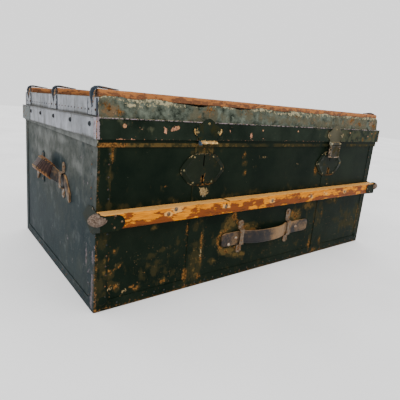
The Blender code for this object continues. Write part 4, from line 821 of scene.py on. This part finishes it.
def plateWear(point, normal):
    # Lock plates: rusty lip at the top, rust round the slot and keyhole, rubbed metal and a painted highlight
    # along the rim
    x, z = (point.x - lockX[sideOf(point)]) * 1000, (point.z - lockZ) * 1000
    drift = uneven(point / 0.025, 0.2)
    rust = spot(x, z, (0, -20, 6, 13, 0.75)) + spot(x, z, (4, -34, 26, 4, 0.6))
    lip = spot(x, z, (-2, 35.5, 21, 4.5, 1.0))
    rim = softStep((math.hypot(x / 57, z / 36) - 0.93) / 0.05)
    return (0.10 + drift + rust + 0.3 * lip + 0.30 * rim * (x > 10), 0.06 + 0.42 * rim + 0.5 * lip,
            0.25 + drift, 0.0)


def haspWear(point, normal):
    # Olive plate, rubbed at its lobes and knuckle; the knuckle's free end is pale, and its lower half darker,
    # a painted shade
    shut = lidShut @ point
    x, z = (shut.x - lockX[sideOf(point)]) * 1000, shut.z * 1000
    drift = uneven(point / 0.02, 0.2)
    lobes = max(spot(x, z, (-30, 335, 9, 10, 1.1)), spot(x, z, (33, 334, 6, 12, 0.9)))
    edge = softStep((z - 356) / 5)
    knuckle = softStep((318 - z) / 2)
    shade = softStep((311.6 - z) / 1.2)
    tip = softStep((-17.5 - x) / 1.5) * knuckle
    bare = 0.08 + 0.8 * lobes + 0.22 * edge + (0.85 - 0.9 * shade) * knuckle - 0.8 * tip
    return (0.10 + drift + 0.10 * edge + 0.3 * shade, bare, 0.30 + drift, 0.9 * tip)


def leafWear(point, normal):
    # The leaf is filmed brown and rubbed along its sides and foot
    low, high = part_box("hasp_leaf")
    drift = uneven(point / 0.015, 0.2)
    rim = softStep((0.005 - min(point.z - low.z, point.x - low.x, high.x - point.x)) / 0.004)
    return (0.22 + drift, 0.12 + 0.38 * rim, 0.45 + drift, 0.0)


def makeLocks():
    for side in ("left", "right"):
        node = f"lock_plate_{side}"
        made = finishPiece(denseCopy(node, 0.004), f"lock_scutcheon_{side}", "case",
                           "plate darkHole", node, plateWear, 30.0)
        # The slot's walls take the black finish, a painted shade
        byFacing(made, lambda normal, centre: abs(normal.y) < 0.5 and abs(centre.x - lockX[side]) < 0.0045
                 and abs(centre.z - lockZ) < 0.0312)
        node = f"hasp_plate_{side}"
        finishPiece(denseCopy(node, 0.004), f"hasp_{side}", "lid",
                    "haspDark" if side == "left" else "hasp", node, haspWear, 30.0)
    finishPiece(denseCopy("hasp_leaf", 0.004), "hasp_flap", "hasp_leaf", "leaf", "hasp_leaf",
                leafWear, 30.0)


def strapWear(point, normal):
    # Front strap rubbed toward its right, end straps at their tips; upward faces are lighter, a painted
    # highlight
    drift = uneven(point / 0.03, 0.25)
    paintedTopLight = 0.34 if normal.z > 0.5 else 0.0
    if point.y < front:
        worn = softStep((point.x + 0.045) / 0.09) * 0.52 - 0.26 * softStep((point.x - 0.07) / 0.03)
        worn += 0.24 * softStep((-0.098 - point.x) / 0.02)
    else:
        worn = 0.42 * softStep((abs(point.y) - 0.086) / 0.008) - 0.08
    return (0.0, 0.20 + 1.6 * drift + paintedTopLight + worn, 0.12 + drift, 0.0)


frontStrap = {"from": -0.080, "to": 0.055, "loop": 0.069, "bow": 0.0265, "rise": 0.020, "share": 0.62,
              "sag": 0.0021}


def settleStrap(point):
    # The old strap lies low in its loops, and springs out in one round bow between them
    past, short = point.x - frontStrap["from"], frontStrap["to"] - point.x
    along = past / (frontStrap["loop"] - frontStrap["from"])
    if 0 < along < 1:
        was = softStep(past / frontStrap["rise"]) * softStep(short / frontStrap["rise"])
        now = frontStrap["share"] * (1 - abs(2 * along - 1) ** 2.6)
        point.y += frontStrap["bow"] * (was - now)
    point.z -= frontStrap["sag"]


def makeStraps():
    for side in ("front", "left", "right"):
        node = f"{side}_handle_strap"
        shape = denseCopy(node, 0.006)
        if side == "front":
            for v in shape.verts:
                settleStrap(v.co)
        finishPiece(shape, f"{side}_strap_leather", f"{side}_handle", "strap", node,
                    strapWear, 50.0)


def addBall(shape, place, turn, halves, around, rings):
    # A small ball with three half sizes, for a nail head or a stitch
    bmesh.ops.create_uvsphere(shape, u_segments=around, v_segments=rings, radius=1.0,
                              matrix=Matrix.Translation(place) @ turn @ Matrix.Diagonal((*halves, 1.0)))


grip = {"tilt": math.radians(36.0), "half": 0.0112, "core": 0.0140, "reach": 0.0370, "pitch": 0.0056,
        "stitch": (0.0019, 0.0007, 0.0007)}


def makeGrip(side):
    # The leather sleeve of an end strap, with two rows of stitches laid on its surface
    node = f"{side}_handle_grip"
    shape = denseCopy(node, 0.005)
    outward = -1 if side == "left" else 1
    across = Vector((-outward * math.sin(grip["tilt"]), 0, math.cos(grip["tilt"])))
    face = Vector((outward * math.cos(grip["tilt"]), 0, math.sin(grip["tilt"])))
    turn = Matrix((Vector((0, 1, 0)), across, face)).transposed().to_4x4()
    core = [v.co for v in shape.verts if abs(v.co.y) < grip["core"]]
    centre = sum(core, Vector()) / len(core)

    def gripWear(point, normal):
        drift = uneven(point / 0.015, 0.2)
        arris = softStep((abs((point - centre).dot(across)) - 0.0115) / 0.003)
        rear = softStep((point.y - 0.010) / 0.008)
        return (0.0, 0.06 + drift + 0.62 * arris + 0.40 * rear, 0.10 + drift, 0.0)

    surface = BVHTree.FromBMesh(shape)
    stitches = bmesh.new()
    count = round(2 * grip["reach"] / grip["pitch"])
    for edge in (-1, 1):
        for i in range(count + 1):
            along = Vector((0, (i / count * 2 - 1) * grip["reach"], 0))
            start = centre + along + across * edge * grip["half"]
            place = surface.ray_cast(start + face * 0.05, -face)[0]
            if place:
                addBall(stitches, place, turn, grip["stitch"], 8, 5)
    finishPiece(shape, f"{side}_grip_leather", f"{side}_handle", "grip", node, gripWear, 50.0)
    finishPiece(stitches, f"{side}_grip_stitches", f"{side}_handle", "thread", crease=60.0)


def makeLoops():
    # The rear loops still have the ends' paint on them
    for node in ("front_handle_loop_left", "front_handle_loop_right", "left_handle_loop_front",
                 "left_handle_loop_back", "right_handle_loop_front", "right_handle_loop_back"):
        made = finishPiece(denseCopy(node, 0.006), f"{node}_bent", "case",
                           "end" if node.endswith("loop_back") else "rustyIron", node, crease=60.0)
        rolled = made.modifiers.new("rolled_edges", "BEVEL")
        rolled.width = 0.0005
        rolled.segments = 2
        rolled.limit_method = "ANGLE"
        rolled.angle_limit = math.radians(50)


headSizes = {  # radius, height and sides of each kind of head
    "tack": (0.0019, 0.0009, 8), "footStud": (0.0088, 0.0020, 16), "battenNail": (0.0046, 0.0016, 14),
    "capNail": (0.0022, 0.0012, 10), "capSideNail": (0.0022, 0.0011, 10),
    "frontLoopNail": (0.0034, 0.0018, 10), "endLoopNail": (0.0030, 0.0016, 10),
    "plateRivet": (0.0026, 0.0015, 10), "haspRivet": (0.0029, 0.0016, 10),
    "smallStrapRivet": (0.0042, 0.0024, 12), "strapRivet": (0.0046, 0.0024, 12),
    "largeLidNail": (0.0042, 0.0021, 10), "lidNail": (0.0038, 0.0019, 10),
    "smallLidNail": (0.0024, 0.0012, 10), "leastLidNail": (0.0022, 0.0011, 10),
    "lidStud": (0.0046, 0.0036, 14), "lidTack": (0.0016, 0.0009, 8), "clipTack": (0.0024, 0.0012, 10)}
forward = Vector((0, -1, 0))
sideways = {-1: Vector((-1, 0, 0)), 1: Vector((1, 0, 0))}


def frontPoint(x, z, out=0.0):
    # Millimetres from the case's left foot to a place on its front
    return Vector((left + x / 1000, front - out, z / 1000))


def endPoint(side, y, z, out):
    # Millimetres from the front foot to a place on the left end, -1, or the right end, 1
    return Vector((side * (right + out), front + y / 1000, z / 1000))


def makeHeads(name, body, finish, heads):
    # One piece for all heads of a kind; each is its size's name, its place and the way that it faces
    shape = bmesh.new()
    for kind, place, outward in heads:
        radius, height, sides = headSizes[kind]
        addBall(shape, place, outward.to_track_quat("Z", "Y").to_matrix().to_4x4(), (radius, radius, height),
                sides, 6)
    finishPiece(shape, name, body, finish, crease=60.0)


def makeCaseHeads(rng):
    # Studs, tacks, nails and rivets of the case; the tacks stand at nearly even steps
    on = 0.0011  # the binding's thickness
    tacks = []
    for z in range(30, 306, 21):
        for x in (21.5, 878.5):
            tacks.append(("tack", frontPoint(x + rng.uniform(-1, 1), z + rng.uniform(-2, 2), on), forward))
        for side, outward in sideways.items():
            for y in (21.5, 487.5):
                tacks.append(("tack", endPoint(side, y, z + rng.uniform(-2, 2), on), outward))
    for x in range(46, 880, 27):
        tacks.append(("tack", frontPoint(x + rng.uniform(-3, 3), 11 + rng.uniform(-2, 2), on), forward))
    tacks += [("tack", endPoint(side, y, 11, on), outward)
              for y in range(46, 480, 27) for side, outward in sideways.items()]
    studs = [("footStud", frontPoint(x, 22, on), forward) for x in (17, 883)]
    makeHeads("foot_studs", "case", "binding", studs)
    makeHeads("binding_tacks", "case", "paintedNail", tacks)

    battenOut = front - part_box("batten")[0].y
    nails = [("battenNail", frontPoint(x, z, battenOut - 0.0004), forward) for x, z in battenMarks["nails"]]
    for side, outward in sideways.items():
        nails += [("capNail", Vector((side * x / 1000, front - battenOut - 0.0013, z / 1000)), forward)
                  for x, z in ((425, 197.5), (412, 185.5), (426, 175.5))]
        nails += [("capSideNail", endPoint(side, y, z, 0.0024), outward) for y, z in ((9, 203), (14, 181))]
    nails += [("frontLoopNail", frontPoint(x, z, 0.0019), forward)
              for x, z in ((358, 130), (358, 67), (527, 141), (527, 77))]
    nails += [("endLoopNail", endPoint(side, y, z, 0.0019), outward)
              for side, outward in sideways.items() for y in (177, 332) for z in (248, 187)]
    makeHeads("case_nails", "case", "nailHead", nails)

    rivets = []
    for x in lockX.values():
        for i in range(6):
            turn = math.radians(60 * i)
            place = Vector((x + 0.0485 * math.cos(turn), front - 0.0028, lockZ + 0.0306 * math.sin(turn)))
            rivets.append(("plateRivet", place, forward))
    makeHeads("lock_plate_rivets", "case", "plateRivet", rivets)
    rivets = [(kind, frontPoint(x, z, 0.0045), forward) for kind, x, z in (
        ("smallStrapRivet", 322, 85.1), ("strapRivet", 343, 98.1), ("strapRivet", 561, 97.1))]
    makeHeads("strap_rivets", "front_handle", "brightRivet", rivets)


def makeLidHeads(rng):
    # Nails, studs and tacks of the lid, set as on the shut lid and turned with it
    lidForward = lidTurn.to_3x3() @ forward
    nails = [(kind, lidTurn @ frontPoint(x, z, 0.0065), lidForward) for kind, x, z in (
        ("largeLidNail", 45, 341), ("lidNail", 156, 341), ("leastLidNail", 388, 341),
        ("smallLidNail", 513, 342), ("smallLidNail", 745, 343), ("smallLidNail", 863, 343),
        ("smallLidNail", 842, 334))]
    makeHeads("lid_nails", "lid", "copperNail", nails)
    rivets = [("haspRivet", lidTurn @ Vector((x + dx / 1000, front - 0.0096, z / 1000)), lidForward)
              for x in lockX.values() for dx, z in ((0, 351), (26, 334), (-26, 334))]
    makeHeads("hasp_rivets", "lid", "plateRivet", rivets)
    tacks, studs = [], []
    for side, outward in sideways.items():
        studs += [("lidStud", lidTurn @ endPoint(side, y, 341, 0.0065), outward)
                  for y in (21, 121, 229, 332, 420)]
        tacks += [("lidTack", lidTurn @ endPoint(side, y + rng.uniform(-2, 2), 364.5, 0.0), outward)
                  for y in (*range(60, 222, 19), *range(285, 440, 19))]
        tacks += [("clipTack", lidTurn @ endPoint(side, y, 365, 0.0015), outward)
                  for row in (25, 246, 467) for y in (row - 15, row + 15)]
    makeHeads("lid_end_tacks", "lid", "paintedNail", tacks)
    makeHeads("lid_end_studs", "lid", "darkIron", studs)


def dressKeptNodes():
    # Nodes whose shape is right keep it and take a finish
    kept = {
        "pine": "bottom_board front_board back_board left_board right_board lid_front_rail lid_back_rail "
                "lid_left_rail lid_right_rail lid_top_board",
        "darkIron": "lock_case_left lock_case_right case_hinge_leaf_left case_hinge_leaf_right "
                    "lid_hinge_leaf_left lid_hinge_leaf_right",
        "wornSteel": "lock_bolt_left lock_bolt_right hinge_pin_left hinge_pin_right hasp_pin",
        "lidPlate": "lid_corner_plate_left lid_corner_plate_right",
    }
    for finish, names in kept.items():
        for name in names.split():
            nodes[name].data.materials.clear()
            nodes[name].data.materials.append(finishes[finish])


makeCaseShell()
makeBindings()
makeRimBand()
print("case dressed")
makeLidSkin()
makeValances()
print("lid dressed")
makeTimber()
makeIronwork()
makeLocks()
print("timber, caps, clips and locks made")
makeStraps()
makeGrip("left")
makeGrip("right")
makeLoops()
scatter = random.Random(7)
makeCaseHeads(scatter)
makeLidHeads(scatter)
dressKeptNodes()
print("handles and fasteners made")


studio = {"floor": "#e6e6e6", "floorSize": 14.0, "world": 1.5,
          "sun": {"from": (-0.50, -0.55, 0.80), "strength": 1.9, "angle": 26.0}}


def makeStudio():
    floor = bmesh.new()
    bmesh.ops.create_grid(floor, x_segments=4, y_segments=4, size=studio["floorSize"] / 2)
    mesh = bpy.data.meshes.new("floor")
    floor.to_mesh(mesh)
    floor.free()
    made = bpy.data.objects.new("floor", mesh)
    bpy.context.scene.collection.objects.link(made)
    # Matt paper, very slightly uneven in tone
    paper, tree, shader, place = newFinish("pale_paper_floor")
    grain = addNode(tree, "TexNoise", {"Scale": 3.0, "Vector": place})
    tone = addNode(tree, "Mix", {"data_type": "RGBA", 0: grain, 6: studio["floor"], 7: "#ffffff"})
    setNode(shader, {"Base Color": tone, "Roughness": 0.9, "Specular IOR Level": 0.0})
    mesh.materials.append(paper)
    world = bpy.data.worlds.new("studio")
    bpy.context.scene.world = world
    world.use_nodes = True
    setNode(world.node_tree.nodes["Background"], {"Color": "#ffffff", "Strength": studio["world"]})
    lamp = bpy.data.lights.new("key", "SUN")
    lamp.energy = studio["sun"]["strength"]
    lamp.angle = math.radians(studio["sun"]["angle"])
    holder = bpy.data.objects.new("key", lamp)
    bpy.context.scene.collection.objects.link(holder)
    holder.rotation_euler = Vector(studio["sun"]["from"]).to_track_quat("Z", "Y").to_euler()


viewpoint = {"place": (-0.6943, -0.8560, 0.4052), "right": (0.7971, -0.5974, 0.0877),
             "up": (0.0652, 0.2296, 0.9711), "behind": (-0.6003, -0.7684, 0.2220), "lens": 33.54,
             "shiftY": -0.0353}


def makeCamera():
    lens = bpy.data.cameras.new("view")
    lens.lens = viewpoint["lens"]
    lens.sensor_width = 36.0
    lens.shift_y = viewpoint["shiftY"]
    lens.clip_start = 0.02
    eye = bpy.data.objects.new("view", lens)
    bpy.context.scene.collection.objects.link(eye)
    turn = Matrix((viewpoint["right"], viewpoint["up"], viewpoint["behind"])).transposed().to_4x4()
    eye.matrix_world = Matrix.Translation(viewpoint["place"]) @ turn
    bpy.context.scene.camera = eye


makeStudio()
makeCamera()
print("studio ready")
